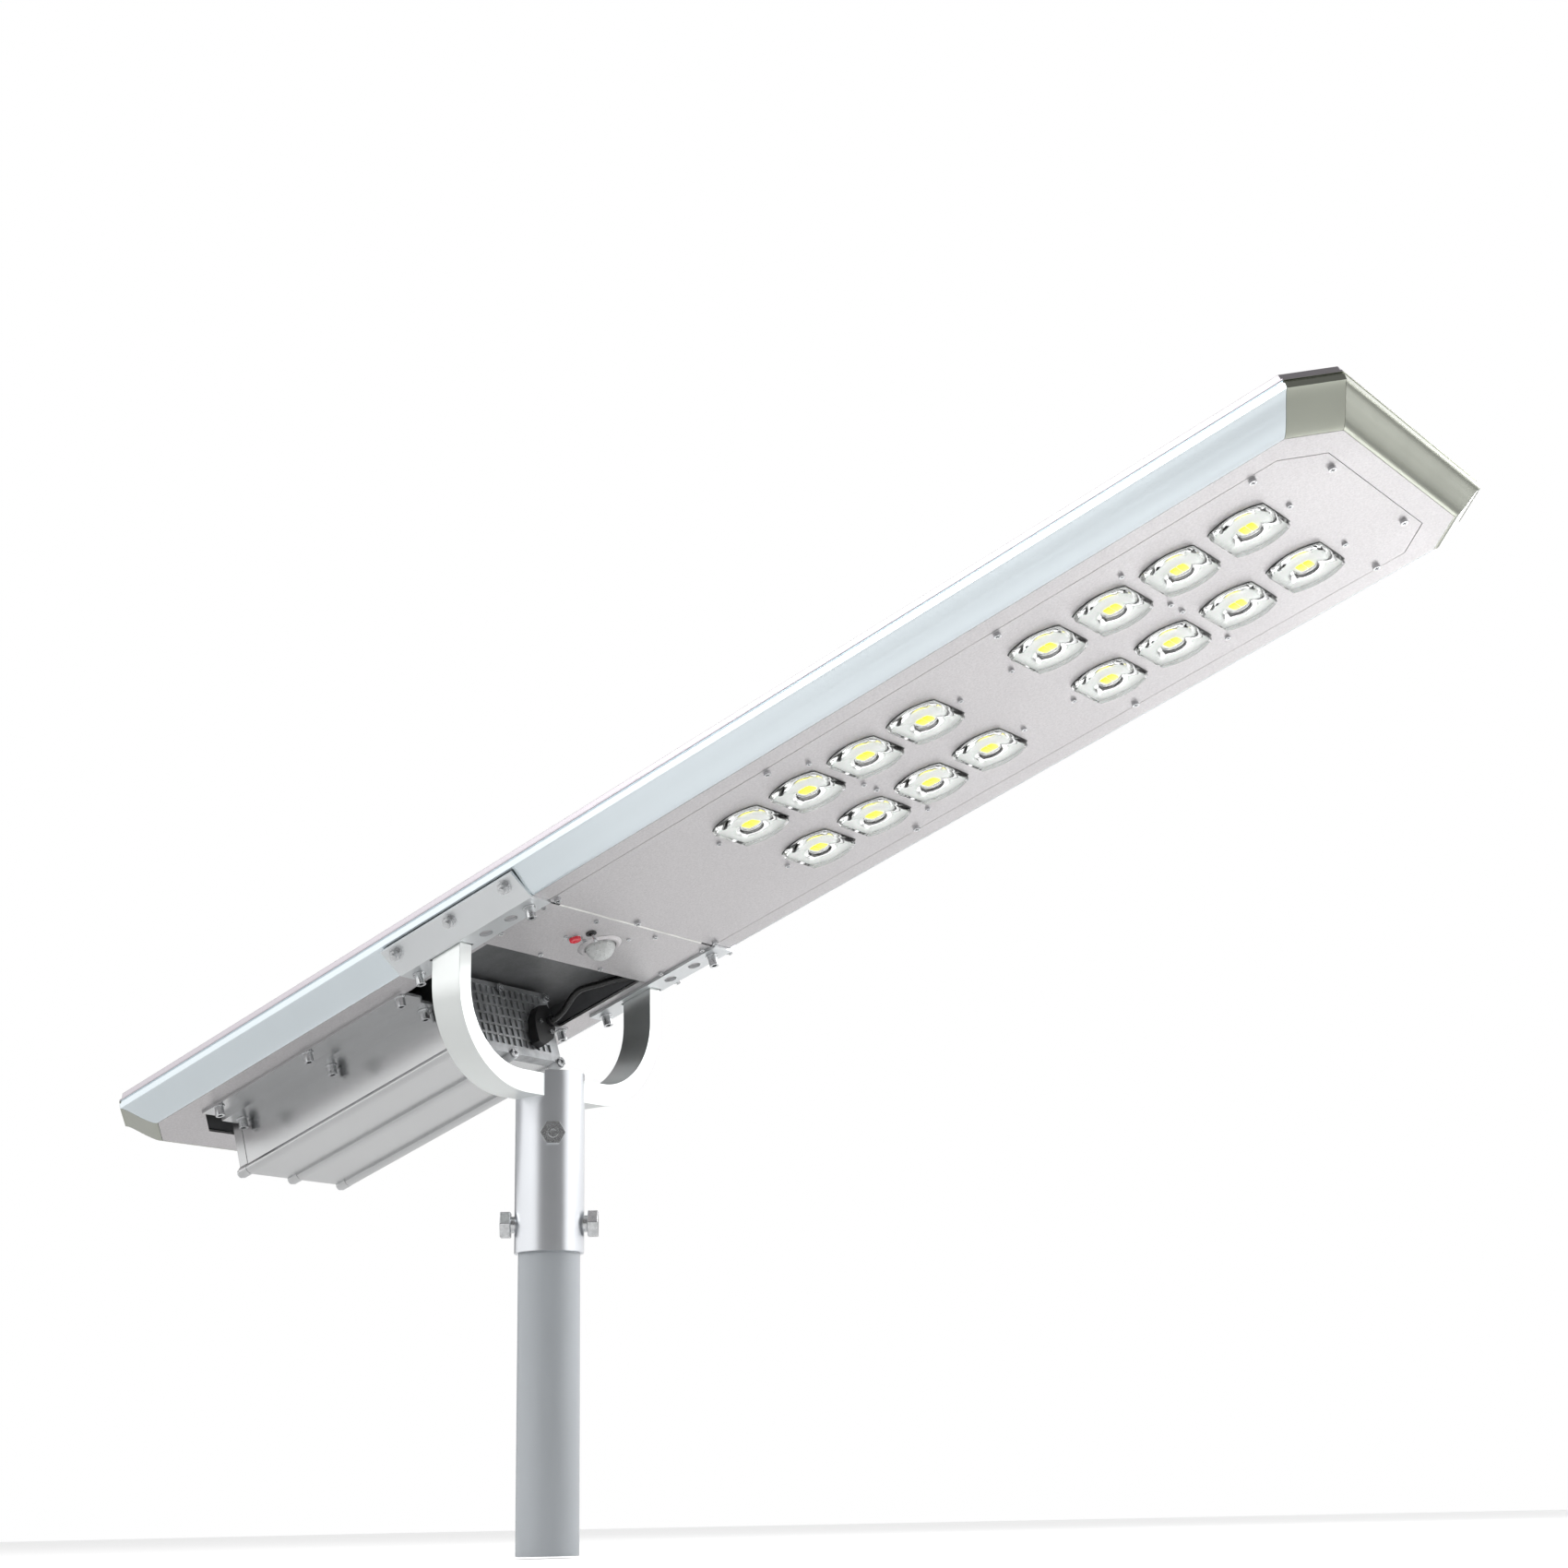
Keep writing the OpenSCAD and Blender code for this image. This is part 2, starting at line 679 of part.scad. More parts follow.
module charge_controller() {
  color("darkgreen") in_head() {
    translate([32, 60, 9]) cube([64, 52, 14]);
    translate([95.9, 70, 12]) cube([6, 30, 8]);
  }
}

module cavity_liner() {
  wall = 1.2;
  roof_z = 27.2;
  module inside(g) {
    polygon([[window_back - g, corner - window_y], [window_back - g, window_y - corner],
      [window_back + corner, window_y + g], [lens_plate_back, window_y + g],
      [lens_plate_back, -window_y - g], [window_back + corner, -window_y - g]]);
  }
  color([0.12, 0.12, 0.13]) in_head() difference() {
    translate([0, 0, sheet + 2]) linear_extrude(roof_z - sheet - 2) inside(2 * wall);
    translate([0, 0, 0]) linear_extrude(roof_z - wall) inside(wall);
    translate([sensor_back + 2, -130, 0]) cube([120, 260, roof_z - wall]);
  }
}

// ---------- solar panel ----------

// octagon at a distance out from the underside plate's edge
module ring_outline(out) {
  polygon(octagon(rear_x - out, front_x + out, half_w + out, corner));
}

module solar_backsheet() {
  color("black") in_head() translate([0, 0, panel_z + 2]) linear_extrude(0.6)
    ring_outline(glass_out);
}

module solar_cells() {
  cell_l = 62.5;
  cell_w = 102;
  cols = 20;
  rows = 3;
  pitch_x = 65.8;
  pitch_y = 105.5;
  color("midnightblue") in_head() for (i = [0 : cols - 1], j = [0 : rows - 1])
    translate([mid_x + (i - (cols - 1) / 2) * pitch_x - cell_l / 2,
      (j - (rows - 1) / 2) * pitch_y - cell_w / 2, panel_z + 2.8]) cube([cell_l, cell_w, 0.4]);
}

module solar_glass() {
  color("lightblue", 0.4) in_head() translate([0, 0, panel_z + 3.4]) linear_extrude(3.2)
    ring_outline(glass_out);
}

// frame around the glass: a flange on the lip, and a wall that leans in a little
module panel_frame() {
  flange_out = lip_out - 0.4;
  flange_h = 1.9;
  wall_out = lip_out - 2;
  wall_lean = 1.2;
  module rim(out, z) {
    translate([0, 0, z]) linear_extrude(0.01) ring_outline(out);
  }
  color("thistle") in_head() difference() {
    union() {
      translate([0, 0, panel_z]) linear_extrude(flange_h) ring_outline(flange_out);
      hull() {
        rim(wall_out, panel_z + flange_h - 0.1);
        rim(wall_out - wall_lean, panel_z + panel_frame_h);
      }
    }
    translate([0, 0, panel_z - 1]) linear_extrude(panel_frame_h + 3) ring_outline(glass_out - 3);
    translate([0, 0, panel_z + 1.6]) linear_extrude(5.4) ring_outline(glass_out + 0.4);
  }
}

module panel_seal() {
  color("black") in_head() translate([0, 0, rail_h + lip_h + 0.02]) linear_extrude(0.26) difference() {
    ring_outline(lip_out - 5);
    ring_outline(lip_out - 12);
  }
}

// ---------- battery box ----------

// cross-section of the box body: x across, y up
module box_section() {
  wall = 3;
  difference() {
    union() {
      translate([-box_half_w, -box_drop]) square([2 * box_half_w, box_drop + box_top]);
      translate([-inner_flange_y, inner_flange_z]) square([2 * inner_flange_y, flange_t]);
      for (s = led_sides) {
        translate([s * (inner_flange_y - flange_t / 2) - flange_t / 2, inner_flange_z])
          square([flange_t, -inner_flange_z - 0.1]);
        translate([s > 0 ? inner_flange_y - flange_t : -outer_flange_y, -flange_t])
          square([outer_flange_y - inner_flange_y + flange_t, flange_t - 0.1]);
      }
      for (y = [-boss_y, 0, boss_y]) translate([y, -box_drop]) circle(r = boss_r);
    }
    translate([wall - box_half_w, wall + boss_r - box_drop])
      square([2 * (box_half_w - wall), box_drop + box_top - 2 * wall - boss_r]);
  }
}

cap_screws = [for (y = [-boss_y, 0, boss_y], z = [-box_drop, box_top - 5.5]) [y, z]];
cap_hole_r = 2.6;

module battery_box() {
  slot_half = outer_flange_y + 1;
  color("gainsboro") in_head() difference() {
    translate([box_back, 0, 0]) rotate([90, 0, 90]) linear_extrude(box_len) box_section();
    both_sides() translate([flange_front, box_half_w + 0.02, inner_flange_z - 1])
      cube([20, slot_half, -inner_flange_z + 2]);
    for (x = outer_bolt_x) both_sides() translate([x, outer_bolt_y, -12]) cylinder(h = 20, r = 3.2);
    for (x = inner_bolt_x) both_sides() translate([x, inner_bolt_y, -12]) cylinder(h = 10, r = 3.2);
  }
}

// outline of an end cap: x across, y up
module cap_section() {
  translate([-box_half_w - 0.5, -box_drop]) square([2 * box_half_w + 1, box_drop + box_top]);
  for (y = [-boss_y, 0, boss_y]) translate([y, -box_drop]) circle(r = boss_r + 0.3);
}

module cap_body(x) {
  translate([x, 0, 0]) rotate([90, 0, 90]) linear_extrude(cap_t) cap_section();
}

module battery_front_cap() {
  rib_y = 8.7;
  rib_z = 11;
  pocket = [6.6, 8.6];
  depth = 2.2;
  cols = 14;
  rows = 6;
  color("darkgray") in_head() difference() {
    cap_body(box_front + 0.3);
    for (i = [0 : cols - 1], j = [0 : rows - 1]) {
      y = (i - (cols - 1) / 2) * rib_y;
      z = j * rib_z - box_drop + 9.5;
      translate([box_front + 0.3 + cap_t - depth, y - pocket[0] / 2, z])
        cube([depth + 1, pocket[0], pocket[1]]);
    }
  }
}

module battery_rear_cap() {
  color("gainsboro") in_head() cap_body(box_back - 0.3 - cap_t);
}

module battery_cap_seals() {
  color("black") in_head() for (x = [box_back - 0.28, box_front + 0.02]) translate([x, 0, 0])
    rotate([90, 0, 90]) linear_extrude(0.26) difference() {
      translate([-box_half_w + 0.3, 0.3 - box_drop])
        square([2 * box_half_w - 0.6, box_drop + box_top - 0.6]);
      translate([-box_half_w + 3, 9 - box_drop]) square([2 * box_half_w - 6, box_drop + box_top - 12]);
    }
}

module battery_cap_screws() {
  head_r = 4.6;
  head_h = 3;
  color("silver") in_head() for (p = cap_screws) {
    translate([box_front + 0.35 + cap_t, p[0], p[1]]) rotate([0, 90, 0]) difference() {
      cylinder(h = head_h, r = head_r);
      translate([0, 0, 1.2]) cylinder(h = 3, r = 2.1, $fn = 6);
    }
    translate([box_back - 0.35 - cap_t, p[0], p[1]]) rotate([0, -90, 0]) difference() {
      cylinder(h = head_h, r = head_r);
      translate([0, 0, 1.2]) cylinder(h = 3, r = 2.1, $fn = 6);
    }
  }
}

cell_r = 16;
cell_l = 70;
cells_across = 4;
cells_along = 4;
cells_up = 2;
cell_pitch = 33.4;
cell_step = 73;

function cell_place(i, j, k) = [box_back + 8 + i * cell_step, (j - 1.5) * cell_pitch,
  k * (cell_pitch - 0.9) - box_drop + boss_r + 3.6 + cell_r];

module battery_cells() {
  color("royalblue") in_head() for (i = [0 : cells_along - 1], j = [0 : cells_across - 1],
    k = [0 : cells_up - 1]) translate(cell_place(i, j, k)) rotate([0, 90, 0])
      cylinder(h = cell_l, r = cell_r);
}

module battery_holders() {
  bar = 2.6;
  color("black") in_head() for (i = [0 : cells_along])
    translate([box_back + 8 + i * cell_step - bar - 0.2, 3.4 - box_half_w, boss_r + 3.4 - box_drop])
      cube([bar, 2 * box_half_w - 6.8, box_drop + box_top - boss_r - 7]);
}

module flange_bolts_outer() {
  color("silver") in_head() for (x = outer_bolt_x) both_sides()
    translate([x, outer_bolt_y, -flange_t - 1.2]) {
      hanging_bolt(6, 9.5, 8);
      cylinder(h = 1.15, r = 6.2);
    }
}

module flange_bolts_inner() {
  color("silver") in_head() for (x = inner_bolt_x) both_sides()
    translate([x, inner_bolt_y, inner_flange_z - 1.2]) {
      hanging_bolt(6, 9.5, 7);
      cylinder(h = 1.15, r = 6.2);
    }
}

gland_pos = [0, 55, -19];
cover_x = box_front + cap_t + 0.35;
cover_h = 11;

module connector_cover() {
  color([0.1, 0.1, 0.1]) in_head() translate([cover_x, 0, 0]) difference() {
    rotate([90, 0, 90]) linear_extrude(cover_h)
      polygon([[34, -16], [43, -3], [56, 0], [61, -9], [61.5, -26], [55, -38], [40, -47], [31, -44],
        [31, -28]]);
    translate([1, gland_pos[1], gland_pos[2]]) rotate([0, 90, 0]) cylinder(h = 20, r = 4.2);
    for (p = cover_screws) translate([cover_h - 7, p[0], p[1]]) rotate([0, 90, 0]) cylinder(h = 9, r = 1.6);
  }
}

cover_screws = [[38.7, -21.6], [52, -32]];

module connector_cover_screws() {
  color("silver") in_head() for (p = cover_screws)
    translate([cover_x + cover_h + 0.05, p[0], p[1]]) rotate([0, -90, 0]) pan_screw(3, 6);
}

module cable_gland() {
  color([0.15, 0.15, 0.15]) in_head() translate([cover_x + 1, gland_pos[1], gland_pos[2]])
    rotate([0, 90, 0]) difference() {
      union() {
        cylinder(h = cover_h, r = 4.1);
        translate([0, 0, cover_h - 0.9]) cylinder(h = 4, r = 6.6, $fn = 6);
      }
      translate([0, 0, -1]) cylinder(h = 20, r = cable_d / 2 + 0.15);
    }
}

// the cable's middle line, from the battery's connector to the controller
cable_route = [[-66, 55, -19], [-55.8, 55, -19], [-51.5, 57.2, -17.2], [-46.5, 61, -13],
  [-41, 63, -8.5], [-35, 64.2, -4], [-30, 65.2, -0.8], [-24.5, 67.2, 1.6], [-19, 71.5, 2.8],
  [-13.5, 77, 3.4], [-7, 84.5, 4.6], [0, 92, 5.9], [6, 99.5, 6.6], [11.5, 105.5, 7.2],
  [18, 108.3, 8.1], [24, 108.3, 10.4], [28.2, 108, 13]];

cable_sides = 12;

function unit(v) = v / norm(v);

function cable_way(i) = unit(cable_route[min(i + 1, len(cable_route) - 1)] - cable_route[max(i - 1, 0)]);

// one ring of points round the cable's middle line
function cable_ring(i) = let (t = cable_way(i), u = unit(cross(t, [0, 0, 1])), v = cross(u, t))
  [for (k = [0 : cable_sides - 1]) let (a = k * 360 / cable_sides)
    cable_route[i] + cable_d / 2 * (cos(a) * u + sin(a) * v)];

module battery_cable() {
  n = len(cable_route);
  s = cable_sides;
  color([0.08, 0.08, 0.08]) in_head() polyhedron(
    points = [for (i = [0 : n - 1]) each cable_ring(i)],
    faces = [
      [for (k = [s - 1 : -1 : 0]) k],
      [for (k = [0 : s - 1]) (n - 1) * s + k],
      for (i = [0 : n - 2], k = [0 : s - 1]) [i * s + k, i * s + (k + 1) % s, (i + 1) * s + (k + 1) % s],
      for (i = [0 : n - 2], k = [0 : s - 1]) [i * s + k, (i + 1) * s + (k + 1) % s, (i + 1) * s + k]
    ]);
}

pole_top();
yoke_sleeve();
yoke_bar();
sleeve_cross_bolts();
sleeve_lock_screw();
hinge_pins();
side_bracket_left();
side_bracket_right();
bracket_flank_bolts();
bracket_hanging_bolts();
side_rail_left();
side_rail_right();
front_end_rail();
rear_end_rail();
corner_rails();
underside_tray();
lens_plate();
lens_plate_screws();
sensor_plate();
sensor_plate_screws();
joint_strip();
strip_end_plugs();
heat_spreader_front();
heat_spreader_rear();
led_board_front();
led_board_rear();
led_chips();
lenses_front();
lenses_rear();
lens_seals();
lens_screws();
pir_ring();
pir_dome();
pir_sensor();
button_bezel();
power_button();
power_switch();
toggle_bushing();
mode_toggle();
charge_controller();
cavity_liner();
solar_glass();
solar_cells();
solar_backsheet();
panel_frame();
panel_seal();
battery_box();
battery_cells();
battery_holders();
battery_front_cap();
battery_rear_cap();
battery_cap_seals();
battery_cap_screws();
flange_bolts_outer();
flange_bolts_inner();
connector_cover();
cable_gland();
connector_cover_screws();
battery_cable();
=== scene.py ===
"""Solar street lamp: finishes, rounded metal, lenses, dome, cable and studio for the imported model."""

import json
import math

import bmesh
import bpy
from mathutils import Matrix, Vector


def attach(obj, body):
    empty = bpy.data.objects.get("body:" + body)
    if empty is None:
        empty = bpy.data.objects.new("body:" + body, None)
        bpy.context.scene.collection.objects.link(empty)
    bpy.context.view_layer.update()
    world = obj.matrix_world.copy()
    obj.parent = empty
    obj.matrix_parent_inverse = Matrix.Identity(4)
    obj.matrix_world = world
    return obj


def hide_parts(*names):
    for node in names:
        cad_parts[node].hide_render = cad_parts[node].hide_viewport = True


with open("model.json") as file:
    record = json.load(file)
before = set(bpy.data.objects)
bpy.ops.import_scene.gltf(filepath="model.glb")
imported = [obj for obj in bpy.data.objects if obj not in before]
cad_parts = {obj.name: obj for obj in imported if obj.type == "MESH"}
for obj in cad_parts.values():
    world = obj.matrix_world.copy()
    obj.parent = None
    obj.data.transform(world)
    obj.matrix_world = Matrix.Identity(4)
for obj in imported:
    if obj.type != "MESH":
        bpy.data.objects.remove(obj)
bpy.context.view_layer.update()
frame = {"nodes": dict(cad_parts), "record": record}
NODES = frame["nodes"]

bl_info = {
    "name": "Solar street lamp",
    "version": (1, 0, 0),
    "blender": (4, 5, 0),
    "location": "View3D > Sidebar > Street Lamp",
    "description": "Finishes and detailed pieces for a solar street lamp",
    "category": "Object",
}

MM = 0.001
TILT = math.radians(17)
HINGE = Vector((0, 0, 0.568))
HINGE_UP = 0.010
HEAD_MATRIX = (Matrix.Translation(HINGE) @ Matrix.Rotation(-TILT, 4, "Y")
               @ Matrix.Translation((0, 0, -HINGE_UP)))


# ---------- sizes and colours a user would change ----------


class LampSizes(bpy.types.PropertyGroup):
    """Sizes of the detailed pieces"""

    metal_edge: bpy.props.FloatProperty(
        name="Metal edge", description="Rounding of the cut metal's edges",
        default=0.0006, unit="LENGTH")
    bar_edge: bpy.props.FloatProperty(
        name="Yoke edge", description="Rounding of the yoke bar's edges", default=0.0011, unit="LENGTH")
    lens_drop: bpy.props.FloatProperty(
        name="Lens depth", description="How far a lens stands out of its plate",
        default=0.0075, unit="LENGTH")
    cable_radius: bpy.props.FloatProperty(
        name="Cable radius", description="Radius of the battery cable", default=0.0035, unit="LENGTH")
    ribbon_width: bpy.props.FloatProperty(
        name="Ribbon width", description="Width of the solar cells' ribbons",
        default=0.0012, unit="LENGTH")


def colour(label, words, rgb):
    """One colour setting."""
    return bpy.props.FloatVectorProperty(
        name=label, description=words, default=rgb, subtype="COLOR", size=3, min=0.0, max=1.0)


class LampColours(bpy.types.PropertyGroup):
    """Colours of the finishes"""

    sheet: colour("Sheet", "Sanded sheet of the underside", (0.575, 0.56, 0.568))
    rail: colour("Side rail", "Anodised side rails", (0.725, 0.79, 0.825))
    corner: colour("End rail", "Anodised end and corner rails", (0.385, 0.40, 0.345))
    yoke: colour("Yoke", "Yoke bar", (0.78, 0.805, 0.795))
    sleeve: colour("Sleeve", "Bright sleeve", (0.74, 0.76, 0.79))
    pole: colour("Pole", "Pole paint", (0.40, 0.425, 0.45))
    box: colour("Battery box", "Anodised battery box", (0.58, 0.585, 0.59))
    cast: colour("Cast", "Cast metal of the battery cap", (0.42, 0.43, 0.44))
    button: colour("Button", "Power button", (0.62, 0.012, 0.03))
    cell: colour("Solar cell", "Solar silicon", (0.012, 0.022, 0.075))


class LampStage(bpy.types.PropertyGroup):
    """The studio"""

    key_power: bpy.props.FloatProperty(
        name="Key light", description="Power of the main soft light", default=62.0, unit="POWER")
    fill_power: bpy.props.FloatProperty(
        name="Fill light", description="Power of the low fill light", default=6.0, unit="POWER")
    surround: bpy.props.FloatProperty(
        name="Surround", description="Brightness of the studio's front and back", default=0.25, min=0.0)
    right_wall: bpy.props.FloatProperty(
        name="Right wall", description="Extra brightness of the right wall", default=0.9, min=0.0)
    left_wall: bpy.props.FloatProperty(
        name="Left wall", description="Extra brightness of the left wall", default=1.15, min=0.0)
    floor_power: bpy.props.FloatProperty(
        name="Floor light", description="Power of the light over the floor", default=50.0, unit="POWER")
    floor_glow: bpy.props.FloatProperty(
        name="Floor glow", description="Glow of the floor that only the camera sees", default=0.35, min=0.0)


def sizes():
    """The sizes set in the sidebar."""
    return bpy.context.scene.lamp_sizes


def colours():
    """The colours set in the sidebar."""
    return bpy.context.scene.lamp_colours


# ---------- material recipes ----------


def node_tree(name):
    """A new material, its node tree and its shader."""
    material = bpy.data.materials.new(name)
    material.use_nodes = True
    tree = material.node_tree
    shader = tree.nodes["Principled BSDF"]
    return material, tree, shader


def add(tree, kind, settings=None, **inputs):
    """A new node, with its settings and its inputs' values."""
    node = tree.nodes.new(kind)
    for key, value in (settings or {}).items():
        setattr(node, key, value)
    for key, value in inputs.items():
        node.inputs[key.replace("_", " ")].default_value = value
    return node


def part_coords(tree, stretch=(1, 1, 1), in_head=True):
    """Coordinates on the part in metres, along the tilted head, scaled per axis."""
    coords = tree.nodes.new("ShaderNodeTexCoord")
    turn = add(tree, "ShaderNodeMapping", {"vector_type": "POINT"})
    turn.inputs["Rotation"].default_value = (0, TILT if in_head else 0, 0)
    size = add(tree, "ShaderNodeMapping", {"vector_type": "POINT"})
    size.inputs["Scale"].default_value = stretch
    tree.links.new(coords.outputs["Object"], turn.inputs["Vector"])
    tree.links.new(turn.outputs["Vector"], size.inputs["Vector"])
    return size.outputs["Vector"]


def noise(tree, vector, scale, detail=4.0, rough=0.55):
    """Cloudy noise from 0 to 1."""
    node = add(tree, "ShaderNodeTexNoise", None, Scale=scale, Detail=detail, Roughness=rough)
    tree.links.new(vector, node.inputs["Vector"])
    return node.outputs["Fac"]


def spread(tree, value, low, high, out_low, out_high):
    """A value's range from low to high, stretched over another range."""
    node = add(tree, "ShaderNodeMapRange", {"clamp": True},
               From_Min=low, From_Max=high, To_Min=out_low, To_Max=out_high)
    tree.links.new(value, node.inputs["Value"])
    return node.outputs["Result"]


def combine(tree, operation, first, second):
    """Two values added or multiplied. The second may be a plain number."""
    node = add(tree, "ShaderNodeMath", {"operation": operation})
    tree.links.new(first, node.inputs[0])
    if isinstance(second, (int, float)):
        node.inputs[1].default_value = second
    else:
        tree.links.new(second, node.inputs[1])
    return node.outputs[0]


def two_tone(tree, factor, first, second):
    """A mix of two colours."""
    node = add(tree, "ShaderNodeMix", {"data_type": "RGBA"})
    node.inputs[6].default_value = (*first, 1)
    node.inputs[7].default_value = (*second, 1)
    tree.links.new(factor, node.inputs[0])
    return node.outputs[2]


def tint(rgb, gain):
    """A colour made darker or lighter."""
    return tuple(min(1.0, c * gain) for c in rgb)


def relief(tree, shader, height, strength, distance):
    """Surface relief from a height value."""
    bump = add(tree, "ShaderNodeBump", None, Strength=strength, Distance=distance)
    tree.links.new(height, bump.inputs["Height"])
    tree.links.new(bump.outputs["Normal"], shader.inputs["Normal"])


def anodised(name, rgb, rough=0.34, metal=1.0, drawn=0.02, in_head=True, cloud=9.0):
    """Anodised metal: die lines along the length, a soft clouding, and fine pits."""
    material, tree, shader = node_tree(name)
    lines = noise(tree, part_coords(tree, (2, 900, 900), in_head), 1.0, 2.0)
    clouds = noise(tree, part_coords(tree, (1, 1, 1), in_head), cloud, 3.0)
    pits = noise(tree, part_coords(tree, (1, 1, 1), in_head), 1500.0, 2.0)
    shade = two_tone(tree, spread(tree, clouds, 0.35, 0.65, 0.0, 1.0),
                     tint(rgb, 0.985), tint(rgb, 1.015))
    tree.links.new(shade, shader.inputs["Base Color"])
    gloss = combine(tree, "ADD", spread(tree, lines, 0.3, 0.7, -drawn / 2, drawn / 2),
                    spread(tree, clouds, 0.3, 0.7, rough - 0.008, rough + 0.012))
    tree.links.new(gloss, shader.inputs["Roughness"])
    relief(tree, shader, combine(tree, "ADD", lines, pits), 0.04, 0.0002)
    shader.inputs["Metallic"].default_value = metal
    return material


def sanded(name, rgb, rough=0.42, metal=0.9):
    """Fine sanded sheet: close sparkle of tiny flats over a slow clouding."""
    material, tree, shader = node_tree(name)
    where = part_coords(tree)
    flecks = add(tree, "ShaderNodeTexVoronoi", {"feature": "F1"}, Scale=900.0)
    tree.links.new(where, flecks.inputs["Vector"])
    fine = noise(tree, where, 520.0, 3.0, 0.7)
    slow = noise(tree, where, 5.0, 2.0)
    shade = two_tone(tree, spread(tree, fine, 0.32, 0.68, 0.0, 1.0), tint(rgb, 0.90), tint(rgb, 1.08))
    tree.links.new(shade, shader.inputs["Base Color"])
    gloss = combine(tree, "ADD", spread(tree, flecks.outputs["Distance"], 0.0, 0.8, -0.08, 0.08),
                    spread(tree, slow, 0.3, 0.7, rough - 0.04, rough + 0.05))
    tree.links.new(gloss, shader.inputs["Roughness"])
    relief(tree, shader, fine, 0.22, 0.0004)
    shader.inputs["Metallic"].default_value = metal
    return material


def plated(name, rgb, rough=0.2):
    """Zinc plated steel: bright, with faint turning marks and a slight stain."""
    material, tree, shader = node_tree(name)
    where = part_coords(tree)
    stain = noise(tree, where, 260.0, 4.0)
    marks = noise(tree, part_coords(tree, (1, 1, 5)), 900.0, 2.0)
    tree.links.new(two_tone(tree, spread(tree, stain, 0.35, 0.7, 0, 1),
                            tint(rgb, 1.05), tint(rgb, 0.78)),
                   shader.inputs["Base Color"])
    tree.links.new(spread(tree, marks, 0.3, 0.7, rough - 0.06, rough + 0.1), shader.inputs["Roughness"])
    relief(tree, shader, marks, 0.12, 0.0002)
    shader.inputs["Metallic"].default_value = 1.0
    return material


def painted(name, rgb, rough, metal):
    """Sprayed paint: orange peel, slow tone changes and a thin clear layer."""
    material, tree, shader = node_tree(name)
    where = part_coords(tree, (1, 1, 1), in_head=False)
    peel = noise(tree, where, 650.0, 3.0, 0.6)
    slow = noise(tree, part_coords(tree, (1, 1, 0.25), in_head=False), 14.0, 3.0)
    tree.links.new(two_tone(tree, spread(tree, slow, 0.3, 0.7, 0, 1), tint(rgb, 0.94), tint(rgb, 1.06)),
                   shader.inputs["Base Color"])
    tree.links.new(spread(tree, peel, 0.3, 0.7, rough - 0.05, rough + 0.07), shader.inputs["Roughness"])
    relief(tree, shader, peel, 0.12, 0.0003)
    shader.inputs["Metallic"].default_value = metal
    shader.inputs["Coat Weight"].default_value = 0.25
    shader.inputs["Coat Roughness"].default_value = 0.3
    return material


def moulded(name, rgb, rough=0.5, grain=900.0, gloss=0.5, bump=0.18, glow=0.0):
    """Moulded plastic: fine spark texture, a little variation in tone and gloss."""
    material, tree, shader = node_tree(name)
    where = part_coords(tree)
    fine = noise(tree, where, grain, 3.0, 0.65)
    slow = noise(tree, where, 60.0, 2.0)
    tree.links.new(two_tone(tree, spread(tree, slow, 0.3, 0.7, 0, 1), tint(rgb, 0.88), tint(rgb, 1.12)),
                   shader.inputs["Base Color"])
    tree.links.new(spread(tree, fine, 0.3, 0.7, rough - 0.07, rough + 0.08), shader.inputs["Roughness"])
    relief(tree, shader, fine, bump, 0.0003)
    shader.inputs["Specular IOR Level"].default_value = gloss
    # A glow above zero is painted light: an unlit part made to shine in its own colour.
    shader.inputs["Emission Color"].default_value = (*rgb, 1)
    shader.inputs["Emission Strength"].default_value = glow
    return material


def cast(name, rgb, rough=0.5):
    """Cast or milled dark metal: open grain with dull hollows."""
    material, tree, shader = node_tree(name)
    where = part_coords(tree)
    grain = noise(tree, where, 420.0, 5.0, 0.6)
    slow = noise(tree, where, 38.0, 3.0)
    tree.links.new(two_tone(tree, spread(tree, slow, 0.3, 0.7, 0, 1), tint(rgb, 0.75), tint(rgb, 1.3)),
                   shader.inputs["Base Color"])
    tree.links.new(spread(tree, grain, 0.3, 0.7, rough - 0.1, rough + 0.1), shader.inputs["Roughness"])
    relief(tree, shader, grain, 0.3, 0.0004)
    shader.inputs["Metallic"].default_value = 0.9
    return material


def clear(name, rgb, rough=0.03, ior=1.49, ripple=140.0):
    """Clear moulding or glass: faint flow ripple and a little haze."""
    material, tree, shader = node_tree(name)
    where = part_coords(tree)
    flow = noise(tree, where, ripple, 2.0)
    tree.links.new(two_tone(tree, flow, tint(rgb, 0.98), tint(rgb, 1.0)), shader.inputs["Base Color"])
    tree.links.new(spread(tree, flow, 0.3, 0.7, rough, rough + 0.03), shader.inputs["Roughness"])
    relief(tree, shader, flow, 0.03, 0.0004)
    shader.inputs["Transmission Weight"].default_value = 1.0
    shader.inputs["IOR"].default_value = ior
    return material


def milky(name, rgb):
    """Milky lens plastic: half clear, with fine lens ribs in its relief."""
    material, tree, shader = node_tree(name)
    where = part_coords(tree)
    fine = noise(tree, where, 700.0, 2.0)
    tree.links.new(two_tone(tree, fine, tint(rgb, 0.93), rgb), shader.inputs["Base Color"])
    tree.links.new(spread(tree, fine, 0.3, 0.7, 0.26, 0.36), shader.inputs["Roughness"])
    relief(tree, shader, fine, 0.08, 0.0003)
    shader.inputs["Transmission Weight"].default_value = 0.35
    shader.inputs["IOR"].default_value = 1.5
    return material


